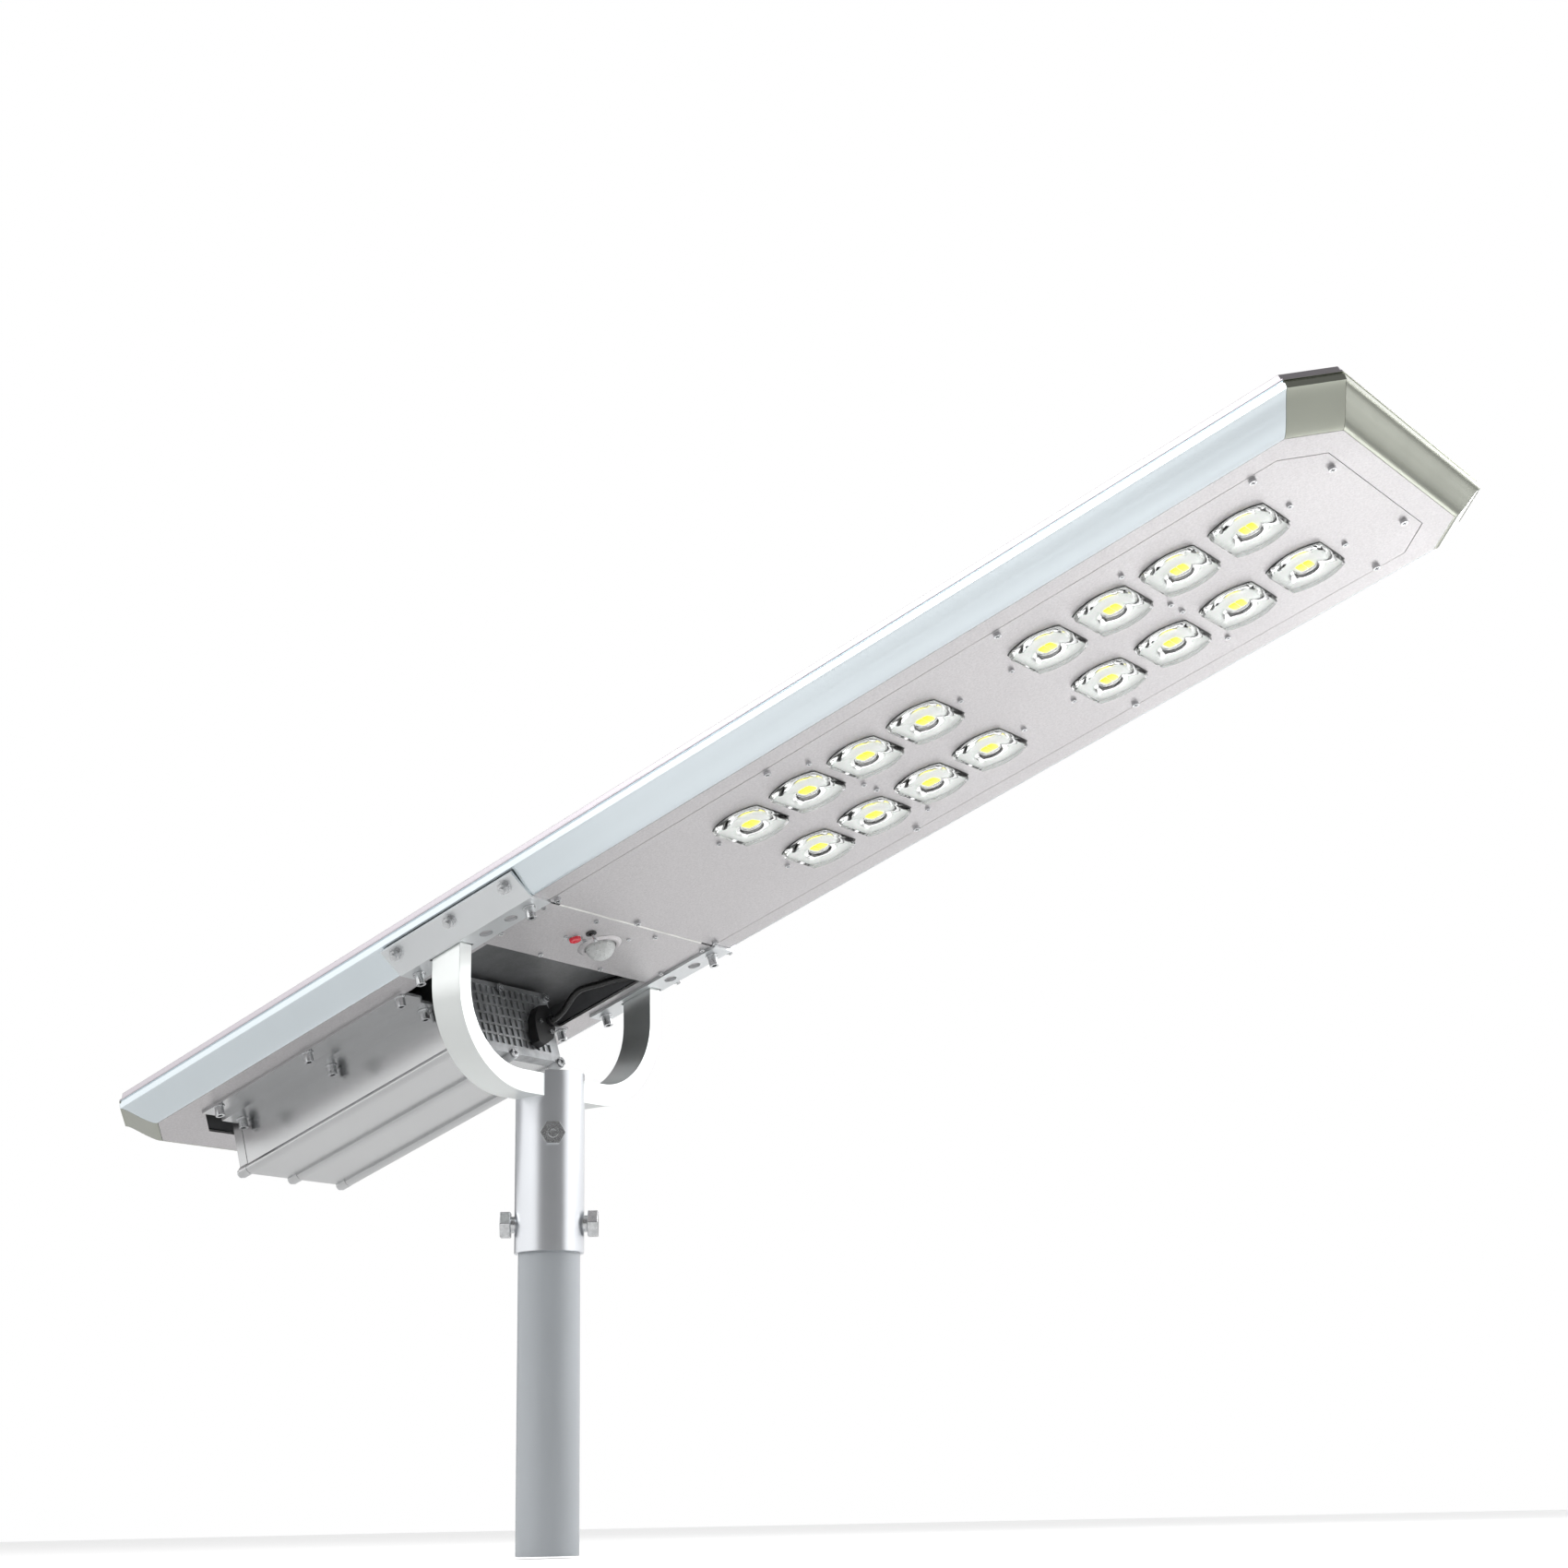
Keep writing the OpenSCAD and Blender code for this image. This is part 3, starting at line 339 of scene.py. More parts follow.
def silicon(name, rgb):
    """Solar cell: dark blue silicon with close printed fingers across it."""
    material, tree, shader = node_tree(name)
    where = part_coords(tree)
    fingers = add(tree, "ShaderNodeTexWave", {"wave_type": "BANDS", "bands_direction": "X"}, Scale=90.0)
    tree.links.new(where, fingers.inputs["Vector"])
    crystal = add(tree, "ShaderNodeTexVoronoi", {"feature": "F1"}, Scale=160.0)
    tree.links.new(where, crystal.inputs["Vector"])
    base = two_tone(tree, spread(tree, crystal.outputs["Distance"], 0.0, 0.7, 0, 1),
                    tint(rgb, 0.8), tint(rgb, 1.5))
    line = add(tree, "ShaderNodeMix", {"data_type": "RGBA"})
    tree.links.new(spread(tree, fingers.outputs["Fac"], 0.93, 0.99, 0, 0.5), line.inputs[0])
    tree.links.new(base, line.inputs[6])
    line.inputs[7].default_value = (0.35, 0.38, 0.44, 1)
    tree.links.new(line.outputs[2], shader.inputs["Base Color"])
    tree.links.new(spread(tree, crystal.outputs["Distance"], 0, 0.7, 0.2, 0.32),
                   shader.inputs["Roughness"])
    relief(tree, shader, fingers.outputs["Fac"], 0.1, 0.0001)
    shader.inputs["Coat Weight"].default_value = 0.6
    return material


def board(name, rgb, trace, glow=0.0):
    """Circuit board: solder mask with raised tracks under it."""
    material, tree, shader = node_tree(name)
    where = part_coords(tree)
    tracks = add(tree, "ShaderNodeTexBrick", None, Scale=60.0, Mortar_Size=0.04)
    tree.links.new(where, tracks.inputs["Vector"])
    tracks.inputs["Color1"].default_value = (*rgb, 1)
    tracks.inputs["Color2"].default_value = (*tint(rgb, 0.95), 1)
    tracks.inputs["Mortar"].default_value = (*trace, 1)
    tree.links.new(tracks.outputs["Color"], shader.inputs["Base Color"])
    grain = noise(tree, where, 800.0, 2.0)
    tree.links.new(spread(tree, grain, 0.3, 0.7, 0.32, 0.45), shader.inputs["Roughness"])
    relief(tree, shader, tracks.outputs["Fac"], 0.15, 0.0002)
    # A glow above zero is painted light: the unlit board made to shine in its own colour.
    shader.inputs["Emission Color"].default_value = (*rgb, 1)
    shader.inputs["Emission Strength"].default_value = glow
    return material


FINISHES = {}


def finish(key):
    """The finish of one of the record's slots, made once."""
    if key not in FINISHES:
        c = colours()
        recipes = {
            "pole_steel": lambda: painted("pole_steel", c.pole, 0.45, 0.05),
            "sleeve_aluminium": lambda: anodised(
                "sleeve_aluminium", c.sleeve, 0.30, drawn=0.03, in_head=False),
            "yoke_aluminium": lambda: anodised(
                "yoke_aluminium", c.yoke, 0.32, metal=0.95, drawn=0.03, in_head=False),
            "bright_steel": lambda: plated("bright_steel", (0.64, 0.65, 0.66)),
            "dark_steel": lambda: plated("dark_steel", (0.25, 0.25, 0.26), 0.32),
            "rail_aluminium": lambda: anodised("rail_aluminium", c.rail, 0.2),
            "corner_aluminium": lambda: anodised("corner_aluminium", c.corner, 0.2, cloud=22.0),
            "sheet_aluminium": lambda: sanded("sheet_aluminium", c.sheet),
            "bracket_aluminium": lambda: anodised(
                "bracket_aluminium", (0.70, 0.72, 0.73), 0.36, drawn=0.04, cloud=16.0),
            "box_aluminium": lambda: anodised("box_aluminium", c.box, 0.25),
            "cast_aluminium": lambda: cast("cast_aluminium", c.cast),
            "white_plastic": lambda: moulded("white_plastic", (0.80, 0.80, 0.77), 0.42),
            "black_plastic": lambda: moulded("black_plastic", (0.018, 0.018, 0.019), 0.4, 700.0),
            "liner_plastic": lambda: moulded("liner_plastic", (0.12, 0.123, 0.126), 0.42, 500.0),
            "black_rubber": lambda: moulded(
                "black_rubber", (0.006, 0.006, 0.006), 0.3, 500.0, 0.5, 0.15),
            # The white LED boards glow: painted light standing in for the light that reaches them under the
            # lenses.
            "circuit_white": lambda: board(
                "circuit_white", (0.86, 0.88, 0.86), (0.76, 0.78, 0.76), 0.28),
            "circuit_green": lambda: board("circuit_green", (0.02, 0.14, 0.06), (0.04, 0.22, 0.09)),
            # The unlit LED pads glow: painted light standing in for the light that reaches them through the
            # lenses.
            "led_phosphor": lambda: moulded("led_phosphor", (0.88, 0.82, 0.02), 0.35, 1400.0, glow=0.9),
            "lens_clear": lambda: clear("lens_clear", (0.985, 0.995, 0.99), 0.015, 1.3),
            "dome_milky": lambda: milky("dome_milky", (0.82, 0.84, 0.83)),
            "button_red": lambda: moulded("button_red", c.button, 0.24, 500.0, 0.6, 0.05),
            "panel_glass": lambda: clear("panel_glass", (0.97, 0.99, 0.985), 0.02, 1.5, 30.0),
            "solar_silicon": lambda: silicon("solar_silicon", c.cell),
            "panel_frame_aluminium": lambda: anodised(
                "panel_frame_aluminium", (0.50, 0.47, 0.50), 0.36),
            "cell_wrap": lambda: moulded("cell_wrap", (0.03, 0.12, 0.42), 0.28, 300.0, 0.6, 0.04),
        }
        FINISHES[key] = recipes[key]()
    return FINISHES[key]


# ---------- mesh helpers ----------


def link(name, mesh, slot, body="head"):
    """A new piece with the finish of a slot, riding on a body."""
    piece = bpy.data.objects.new(name, mesh)
    bpy.context.scene.collection.objects.link(piece)
    mesh.materials.clear()
    mesh.materials.append(finish(slot))
    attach(piece, body)
    return piece


def dress(*names):
    """Gives CAD nodes their procedural finishes."""
    for name in names:
        mesh = NODES[name].data
        if not mesh.materials:
            mesh.materials.append(None)
        for i in range(len(mesh.materials)):
            mesh.materials[i] = finish(slot_of(name))


def slot_of(node):
    """The material slot that the record gives a CAD node."""
    return next(s["material_slot"] for s in frame["record"]["subparts"] if s["node"] == node)


def soften(piece, width, segments=2, limit=30):
    """Rounds a piece's sharp edges."""
    bevel = piece.modifiers.new("edges", "BEVEL")
    bevel.width = width
    bevel.segments = segments
    bevel.limit_method = "ANGLE"
    bevel.angle_limit = math.radians(limit)
    bevel.harden_normals = False


def rounded(node, width, body="head", segments=2, limit=30, clean=True):
    """A copy of a CAD node with its sharp edges rounded, in the node's place."""
    mesh = NODES[node].data.copy()
    bm = bmesh.new()
    bm.from_mesh(mesh)
    bmesh.ops.remove_doubles(bm, verts=bm.verts, dist=2e-6)
    if clean:
        bmesh.ops.dissolve_limit(bm, angle_limit=math.radians(0.4), verts=bm.verts, edges=bm.edges)
    for face in bm.faces:
        face.smooth = True
    bm.to_mesh(mesh)
    bm.free()
    mesh.name = node + "_rounded"
    piece = link(node + "_rounded", mesh, slot_of(node), body)
    soften(piece, width, segments, limit)
    flat = piece.modifiers.new("faces", "WEIGHTED_NORMAL")
    flat.keep_sharp = True
    flat.weight = 80
    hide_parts(node)


def mesh_from(name, points, faces, smooth=True):
    """A mesh from points and faces."""
    mesh = bpy.data.meshes.new(name)
    mesh.from_pydata(points, [], faces)
    mesh.validate()
    for face in mesh.polygons:
        face.use_smooth = smooth
    return mesh


def loft(rings, close_start=True, close_end=True):
    """Faces over a stack of equal rings of points."""
    n = len(rings[0])
    points = [p for ring in rings for p in ring]
    faces = []
    for k in range(len(rings) - 1):
        for i in range(n):
            j = (i + 1) % n
            faces.append((k * n + i, k * n + j, (k + 1) * n + j, (k + 1) * n + i))
    if close_start:
        faces.append(tuple(reversed(range(n))))
    if close_end:
        faces.append(tuple(range((len(rings) - 1) * n, len(rings) * n)))
    return points, faces


def head_point(x, y, z):
    """A place on the flat head, in millimetres, as a point of the tilted head."""
    return HEAD_MATRIX @ Vector((x * MM, y * MM, z * MM))


def merge(parts):
    """Several point and face lists as one."""
    points, faces = [], []
    for more_points, more_faces in parts:
        base = len(points)
        points.extend(more_points)
        faces.extend(tuple(i + base for i in face) for face in more_faces)
    return points, faces


def outward(mesh):
    """Turns all faces to look outward."""
    bm = bmesh.new()
    bm.from_mesh(mesh)
    bmesh.ops.recalc_face_normals(bm, faces=bm.faces)
    bm.to_mesh(mesh)
    bm.free()


# ---------- lenses ----------

LED_ROWS = {"front": 846.999, "rear": 508.2}
LED_PITCH = 68.2
LED_Y = 54.0
LENS_HALF = 26.5
LENS_END = 24.0
LENS_MID = 33.0
LENS_CORNER_SHARPNESS = 240
LENS_HOLLOW = (10.5, 2.3)
LENS_BACK = 4.5
LENS_DOME = (16.5, 21.0, 2.0)
PAD_SIZE = (5.8, 12.5, 1.2)
PAD_OUT = 3.4
PAD_Z = 4.25
CORNER_TURN = math.degrees(math.atan2(LENS_END, LENS_HALF))
# the outline's points meet each corner exactly, with 11 steps to it and 13 beyond it in a quarter
QUARTER = ([CORNER_TURN * k / 11 for k in range(11)]
           + [CORNER_TURN + (90 - CORNER_TURN) * k / 13 for k in range(13)])
LENS_TURNS = [math.radians(a) for a in QUARTER + [180 - a for a in [90] + QUARTER[:0:-1]]
              + [180 + a for a in QUARTER] + [360 - a for a in [90] + QUARTER[:0:-1]]]
LENS_STEPS = len(LENS_TURNS)


def led_places():
    """The middle of each of the sixteen LEDs."""
    return [(x0 - i * LED_PITCH, s * LED_Y)
            for x0 in LED_ROWS.values() for i in range(4) for s in (-1, 1)]


def lens_radius(angle):
    """Distance from a lens's middle to its rounded outline."""
    bow = LENS_MID - LENS_END
    arc = (LENS_HALF ** 2 + bow ** 2) / (2 * bow)
    c, s = abs(math.cos(angle)), abs(math.sin(angle))
    reach = []
    if c > 1e-6:
        reach.append(LENS_HALF / c)
    centre = LENS_MID - arc
    reach.append(centre * s + math.sqrt(centre * centre * (s * s - 1) + arc * arc))
    near = min(reach)
    return near * sum((near / r) ** LENS_CORNER_SHARPNESS for r in reach) ** (-1 / LENS_CORNER_SHARPNESS)


def lens_outline(x0, y0, inset, z):
    """A ring of points along a lens's outline, set in from it, at a height on the head."""
    ring = []
    for a in LENS_TURNS:
        r = lens_radius(a) - inset
        ring.append(head_point(x0 + r * math.cos(a), y0 + r * math.sin(a), z))
    return ring


def lens_mesh_parts(x0, y0, drop):
    """One solid lens: flange, wall, rounded shoulder, shelf, oval dome and a hollow over the chip."""
    def outline(inset, z):
        return lens_outline(x0, y0, inset, z)

    def oval(rx, ry, z):
        return [head_point(x0 + rx * math.cos(a), y0 + ry * math.sin(a), z) for a in LENS_TURNS]

    hollow_r, hollow_h = LENS_HOLLOW
    rings = [oval(0.4, 0.4, 2.2)]
    for t in (20, 40, 60, 75, 90):
        a = math.radians(t)
        rings.append(oval(hollow_r * math.sin(a), hollow_r * math.sin(a),
                          LENS_BACK - hollow_h * math.cos(a)))
    rings += [outline(-2.9, LENS_BACK), outline(-2.9, 3.3), outline(0.0, 3.3), outline(0.0, -drop + 3.4)]
    rings += [outline(0.5, -drop + 2.3), outline(1.5, -drop + 1.6), outline(3.0, -drop + 1.35)]
    rings += [outline(6.0, -drop + 1.5), oval(17.5, 22.5, -drop + 1.9)]
    dome_x, dome_y, dome_h = LENS_DOME
    for t in (75, 60, 45, 30, 15):
        a = math.radians(t)
        rings.append(oval(dome_x * math.sin(a), dome_y * math.sin(a),
                          -drop + dome_h * (1 - math.cos(a))))
    rings.append(oval(0.5, 0.6, -drop))
    return loft(rings)


def make_lenses():
    """The sixteen lenses in their two groups, and the LED pads behind them."""
    drop = sizes().lens_drop / MM
    for group, x0 in LED_ROWS.items():
        parts = [lens_mesh_parts(x0 - i * LED_PITCH, s * LED_Y, drop) for i in range(4) for s in (-1, 1)]
        mesh = mesh_from("lens_row_" + group, *merge(parts))
        outward(mesh)
        piece = link("lens_row_" + group, mesh, "lens_clear")
        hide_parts("lenses_" + group)
    pads = [box_part(x + side * PAD_OUT, y, PAD_Z, *PAD_SIZE)
            for x, y in led_places() for side in (-1, 1)]
    mesh = mesh_from("led_pads", *merge(pads), smooth=False)
    # Their finish glows with painted light, as if lit through the lenses.
    piece = link("led_pads", mesh, "led_phosphor")
    soften(piece, 0.0003)
    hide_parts("led_chips")


def make_gaskets():
    """The lens gaskets: a flat ring above the plate, and a lip round the lens below it."""
    profile = [(-3.0, 3.2), (-3.0, 2.6), (-0.36, 2.6), (-0.36, -0.04), (-1.3, -0.06), (-1.15, -0.42),
               (-0.6, -0.5), (-0.05, -0.42), (-0.05, 3.2)]
    parts = []
    for x, y in led_places():
        rings = [lens_outline(x, y, inset, z) for inset, z in profile]
        points, faces = loft(rings, False, False)
        last = (len(rings) - 1) * LENS_STEPS
        for k in range(LENS_STEPS):
            after = (k + 1) % LENS_STEPS
            faces.append((last + k, last + after, after, k))
        parts.append((points, faces))
    mesh = mesh_from("lens_gaskets", *merge(parts), smooth=False)
    outward(mesh)
    piece = link("lens_gaskets", mesh, "black_rubber")
    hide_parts("lens_seals")


def box_part(x, y, z, lx, ly, lz):
    """A block on the head, centred at a place in millimetres."""
    corners = [head_point(x + i * lx / 2, y + j * ly / 2, z + k * lz / 2)
               for k in (-1, 1) for j in (-1, 1) for i in (-1, 1)]
    faces = [(0, 2, 3, 1), (4, 5, 7, 6), (0, 1, 5, 4), (2, 6, 7, 3), (0, 4, 6, 2), (1, 3, 7, 5)]
    return corners, faces


# ---------- motion sensor and switches ----------

PIR = (61.0, 3.0)
DOME_R = 15.5
COLLAR_R = 19


def make_dome():
    """The motion sensor's dome: tiers of flat lens facets on a short collar."""
    tiers = [(0, 16), (16, 16), (34, 16), (52, 12), (69, 8), (82, 8)]
    count = 48
    turns = [2 * math.pi * i / count for i in range(count)]
    rings = [[(r * math.cos(turn), r * math.sin(turn), z) for turn in turns]
             for r, z in ((COLLAR_R, 3.5), (COLLAR_R, 2.6), (DOME_R, 2.55))]
    for lift, facets in tiers:
        a = math.radians(lift)
        ring = []
        for turn in turns:
            part = 2 * math.pi / facets
            off = (turn + (part / 2 if lift in (34, 69) else 0)) % part - part / 2
            flat = math.cos(part / 2) / math.cos(off)
            r = (DOME_R - 0.1) * math.cos(a) * flat
            ring.append((r * math.cos(turn), r * math.sin(turn), -(DOME_R - 0.1) * math.sin(a)))
        rings.append(ring)
    points, faces = loft(rings, close_start=False)
    points = [head_point(PIR[0] + x, PIR[1] + y, z) for x, y, z in points]
    mesh = mesh_from("sensor_dome", points, faces, smooth=False)
    outward(mesh)
    piece = link("sensor_dome", mesh, "dome_milky")
    wall = piece.modifiers.new("wall", "SOLIDIFY")
    wall.thickness = 0.001
    wall.offset = -1
    soften(piece, 0.0003)
    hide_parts("pir_dome")


def turned(name, slot, centre, profile, body):
    """A turned piece on the head from (radius, z) pairs in millimetres."""
    steps = 64
    rings = []
    for r, z in profile:
        rings.append([head_point(centre[0] + r * math.cos(2 * math.pi * i / steps),
                                 centre[1] + r * math.sin(2 * math.pi * i / steps), z)
                      for i in range(steps)])
    mesh = mesh_from(name, *loft(rings))
    outward(mesh)
    return link(name, mesh, slot, body)


BUTTON = (62.6, -36.0)


def make_button():
    """The power button: dished face, rounded rim and its hidden flange."""
    profile = [(0.05, 8.0), (2.0, 8.0), (2.0, 4.2), (7.2, 4.2), (7.2, 3.0), (5.8, 3.0),
               (5.8, -2.6), (5.6, -2.95),
               (5.2, -3.15), (4.7, -3.2), (3.6, -3.0), (2.0, -2.75), (0.05, -2.65)]
    piece = turned("button_cap", "button_red", BUTTON, profile, "power_button")
    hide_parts("power_button")


# ---------- battery cable ----------

CABLE_ROUTE = [(-66, 55, -19), (-55.8, 55, -19), (-51.5, 57.2, -17.2), (-46.5, 61, -13), (-41, 63, -8.5),
               (-35, 64.2, -4), (-30, 65.2, -0.8), (-24.5, 67.2, 1.6), (-19, 71.5, 2.8),
               (-13.5, 77, 3.4),
               (-7, 84.5, 4.6), (0, 92, 5.9), (6, 99.5, 6.6), (11.5, 105.5, 7.2), (18, 108.3, 8.1),
               (24, 108.3, 10.4), (28.2, 108, 13)]


def make_cable():
    """The battery cable: one smooth jacketed tube from the gland into the sensor bay."""
    curve = bpy.data.curves.new("battery_lead", "CURVE")
    curve.dimensions = "3D"
    spline = curve.splines.new("BEZIER")
    spline.bezier_points.add(len(CABLE_ROUTE) - 1)
    for spot, place in zip(spline.bezier_points, CABLE_ROUTE):
        spot.co = head_point(*place)
        spot.handle_left_type = "AUTO"
        spot.handle_right_type = "AUTO"
    curve.bevel_depth = sizes().cable_radius
    curve.bevel_resolution = 5
    curve.resolution_u = 8
    curve.use_fill_caps = True
    curve.materials.append(finish("black_rubber"))
    piece = bpy.data.objects.new("battery_lead", curve)
    bpy.context.scene.collection.objects.link(piece)
    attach(piece, "head")
    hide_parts("battery_cable")


# ---------- solar cells ----------


CELLS_MIDDLE = 251.5
RIBBON_TOP = 23.6 + 8 + 0.3 + 3.28
RIBBON_LENGTH = 1312
RIBBON_THICK = 0.12
BUS_OUT = 660
BUS_SIZE = (5, 300)
ROW_PITCH = 105.5
RIBBON_PITCH = 20.4


def make_ribbons():
    """Bright ribbons along the solar cells, between the silicon and the glass."""
    width = sizes().ribbon_width / MM
    parts = []
    for row in (-1, 0, 1):
        for bar in (-2, -1, 0, 1, 2):
            y = row * ROW_PITCH + bar * RIBBON_PITCH
            parts.append(box_part(CELLS_MIDDLE, y, RIBBON_TOP, RIBBON_LENGTH, width, RIBBON_THICK))
    for end in (-1, 1):
        parts.append(box_part(CELLS_MIDDLE + end * BUS_OUT, 0, RIBBON_TOP, *BUS_SIZE, RIBBON_THICK))
    mesh = mesh_from("cell_ribbons", *merge(parts), smooth=False)
    link("cell_ribbons", mesh, "bright_steel")


# ---------- studio ----------

CAMERA_AT = (1.631, -1.837, 0.027)
CAMERA_RIGHT = Vector((0.804, 0.594, -0.020))
CAMERA_BACK = Vector((0.5645, -0.775, -0.283))
CAMERA_LENS = 57.34


FLOOR_REACH = 14.0
FRONT_FLOOR_SHARE = 0.014
FRONT_FLOOR_BEAM = 30
CAMERA_SENSOR = 36.0


def make_floor():
    """A plain pale floor, just below the foot of the pole. Only the camera sees its glow."""
    reach = FLOOR_REACH
    mesh = bpy.data.meshes.new("floor")
    mesh.from_pydata([(-reach, -reach, 0), (reach, -reach, 0), (reach, reach, 0), (-reach, reach, 0)],
                     [], [(0, 1, 2, 3)])
    floor = bpy.data.objects.new("floor", mesh)
    floor.location.z = -0.002
    bpy.context.scene.collection.objects.link(floor)
    material, tree, shader = node_tree("floor")
    shade = noise(tree, part_coords(tree, in_head=False), 3.0, 2.0)
    tree.links.new(two_tone(tree, shade, (0.86, 0.86, 0.86), (0.88, 0.88, 0.88)),
                   shader.inputs["Base Color"])
    shader.inputs["Roughness"].default_value = 0.8
    shader.inputs["Emission Color"].default_value = (1, 1, 1, 1)
    seen = tree.nodes.new("ShaderNodeLightPath")
    glow = combine(tree, "MULTIPLY", seen.outputs["Is Camera Ray"],
                   bpy.context.scene.lamp_stage.floor_glow)
    tree.links.new(glow, shader.inputs["Emission Strength"])
    mesh.materials.append(material)


def soft_light(name, place, target, size, power, beam=180):
    """A soft box at a place, turned to a target, with its beam's width in degrees."""
    data = bpy.data.lights.new(name, "AREA")
    data.shape = "RECTANGLE"
    data.size, data.size_y = size
    data.energy = power
    data.spread = math.radians(beam)
    light = bpy.data.objects.new(name, data)
    light.location = place
    light.rotation_euler = (Vector(target) - Vector(place)).to_track_quat("-Z", "Y").to_euler()
    bpy.context.scene.collection.objects.link(light)


def make_lights():
    """The key, fill and back lights, and two that light the floor which the lamp mirrors."""
    stage = bpy.context.scene.lamp_stage
    soft_light("key", (-1.4, -3.2, 3.2), (0.1, 0, 0.5), (2.6, 2.2), stage.key_power)
    soft_light("fill", (3.2, 1.3, 0.6), (0.3, 0, 0.5), (2.2, 1.6), stage.fill_power)
    soft_light("back", (1.2, 3.4, 2.2), (0.2, 0, 0.6), (2.4, 1.6), stage.fill_power)
    soft_light("floor_light", (1.2, 1.85, 1.3), (1.15, 1.8, 0), (1.5, 1.5), stage.floor_power)
    soft_light("front_floor", (0.75, -0.66, 1.7), (0.75, -0.6, 0), (1.7, 0.15),
               stage.floor_power * FRONT_FLOOR_SHARE, FRONT_FLOOR_BEAM)


def make_surround():
    """Grey all round, brighter upward, with a pale wall on two sides. The camera sees plain white."""
    stage = bpy.context.scene.lamp_stage
    world = bpy.data.worlds.new("studio")
    bpy.context.scene.world = world
    world.use_nodes = True
    tree = world.node_tree
    background = tree.nodes["Background"]
    coords = tree.nodes.new("ShaderNodeTexCoord")
    parts = tree.nodes.new("ShaderNodeSeparateXYZ")
    tree.links.new(coords.outputs["Generated"], parts.inputs[0])
    height = spread(tree, parts.outputs["Z"], -0.1, 0.9, 0.75, 1.15)

    def wall(direction, start, full, brightness):
        toward = add(tree, "ShaderNodeVectorMath", {"operation": "DOT_PRODUCT"})
        tree.links.new(coords.outputs["Generated"], toward.inputs[0])
        toward.inputs[1].default_value = direction
        return spread(tree, toward.outputs["Value"], start, full, 0.0, brightness)

    walls = combine(tree, "ADD", wall((0.5, 0.866, 0), 0.45, 0.65, stage.right_wall),
                    wall((-0.75, -0.66, 0), 0.5, 0.75, stage.left_wall))
    level = combine(tree, "MULTIPLY", combine(tree, "ADD", walls, stage.surround), height)
    seen = tree.nodes.new("ShaderNodeLightPath")
    pick = add(tree, "ShaderNodeMix", {"data_type": "FLOAT"})
    tree.links.new(seen.outputs["Is Camera Ray"], pick.inputs[0])
    tree.links.new(level, pick.inputs[2])
    pick.inputs[3].default_value = 1.0
    tree.links.new(pick.outputs[0], background.inputs["Strength"])
    background.inputs["Color"].default_value = (1, 1, 1, 1)


def make_camera():
    """The main view's camera, level with the foot of the pole and looking up."""
    scene = bpy.context.scene
    back = CAMERA_BACK.normalized()
    up = back.cross(CAMERA_RIGHT).normalized()
    right = up.cross(back)
    data = bpy.data.cameras.new("camera")
    data.lens = CAMERA_LENS
    data.sensor_width = CAMERA_SENSOR
    data.clip_start = 0.01
    camera = bpy.data.objects.new("camera", data)
    camera.matrix_world = Matrix.Translation(CAMERA_AT) @ Matrix((right, up, back)).transposed().to_4x4()
    scene.collection.objects.link(camera)
    scene.camera = camera
    scene.view_settings.view_transform = "Standard"


# ---------- operators ----------


class LAMP_OT_stage(bpy.types.Operator):
    """Makes the floor, the lights and the camera"""

    bl_idname = "lamp.stage"
    bl_label = "Studio"

    def execute(self, context):
        make_floor()
        make_lights()
        make_surround()
        make_camera()
        return {"FINISHED"}


class LAMP_OT_pole(bpy.types.Operator):
    """Finishes the pole section"""

    bl_idname = "lamp.pole"
    bl_label = "Pole"

    def execute(self, context):
        rounded("pole_top", sizes().metal_edge, "pole")
        return {"FINISHED"}


class LAMP_OT_yoke(bpy.types.Operator):
    """Rounds and finishes the sleeve, the yoke bar and their bolts"""

    bl_idname = "lamp.yoke"
    bl_label = "Yoke and sleeve"

    def execute(self, context):
        rounded("yoke_bar", sizes().bar_edge, "yoke")
        rounded("yoke_sleeve", sizes().metal_edge, "yoke")
        rounded("sleeve_cross_bolts", sizes().metal_edge, "yoke")
        rounded("sleeve_lock_screw", sizes().metal_edge / 2, "yoke")
        dress("hinge_pins")
        return {"FINISHED"}


class LAMP_OT_rails(bpy.types.Operator):
    """Rounds and finishes the side, end and corner rails"""

    bl_idname = "lamp.rails"
    bl_label = "Rails"

    def execute(self, context):
        for node in ("side_rail_left", "side_rail_right", "front_end_rail", "rear_end_rail",
                     "corner_rails"):
            rounded(node, sizes().metal_edge / 2, limit=40)
        return {"FINISHED"}


class LAMP_OT_underside(bpy.types.Operator):
    """Finishes the underside's sheets and the joint strip"""

    bl_idname = "lamp.underside"
    bl_label = "Underside sheets"

    def execute(self, context):
        for node in ("underside_tray", "lens_plate", "sensor_plate", "joint_strip", "strip_end_plugs"):
            rounded(node, sizes().metal_edge / 2)
        return {"FINISHED"}


class LAMP_OT_brackets(bpy.types.Operator):
    """Rounds and finishes the side brackets, their bolts and the battery flanges' bolts"""

    bl_idname = "lamp.brackets"
    bl_label = "Side brackets"

    def execute(self, context):
        for node in ("side_bracket_left", "side_bracket_right"):
            rounded(node, sizes().metal_edge)
        for node in ("bracket_flank_bolts", "bracket_hanging_bolts", "flange_bolts_outer",
                     "flange_bolts_inner"):
            rounded(node, sizes().metal_edge / 2)
        return {"FINISHED"}


class LAMP_OT_small_screws(bpy.types.Operator):
    """Finishes the small screws of the plates and lenses"""

    bl_idname = "lamp.small_screws"
    bl_label = "Small screws"

    def execute(self, context):
        for node in ("lens_plate_screws", "sensor_plate_screws", "lens_screws"):
            rounded(node, sizes().metal_edge / 2)
        return {"FINISHED"}


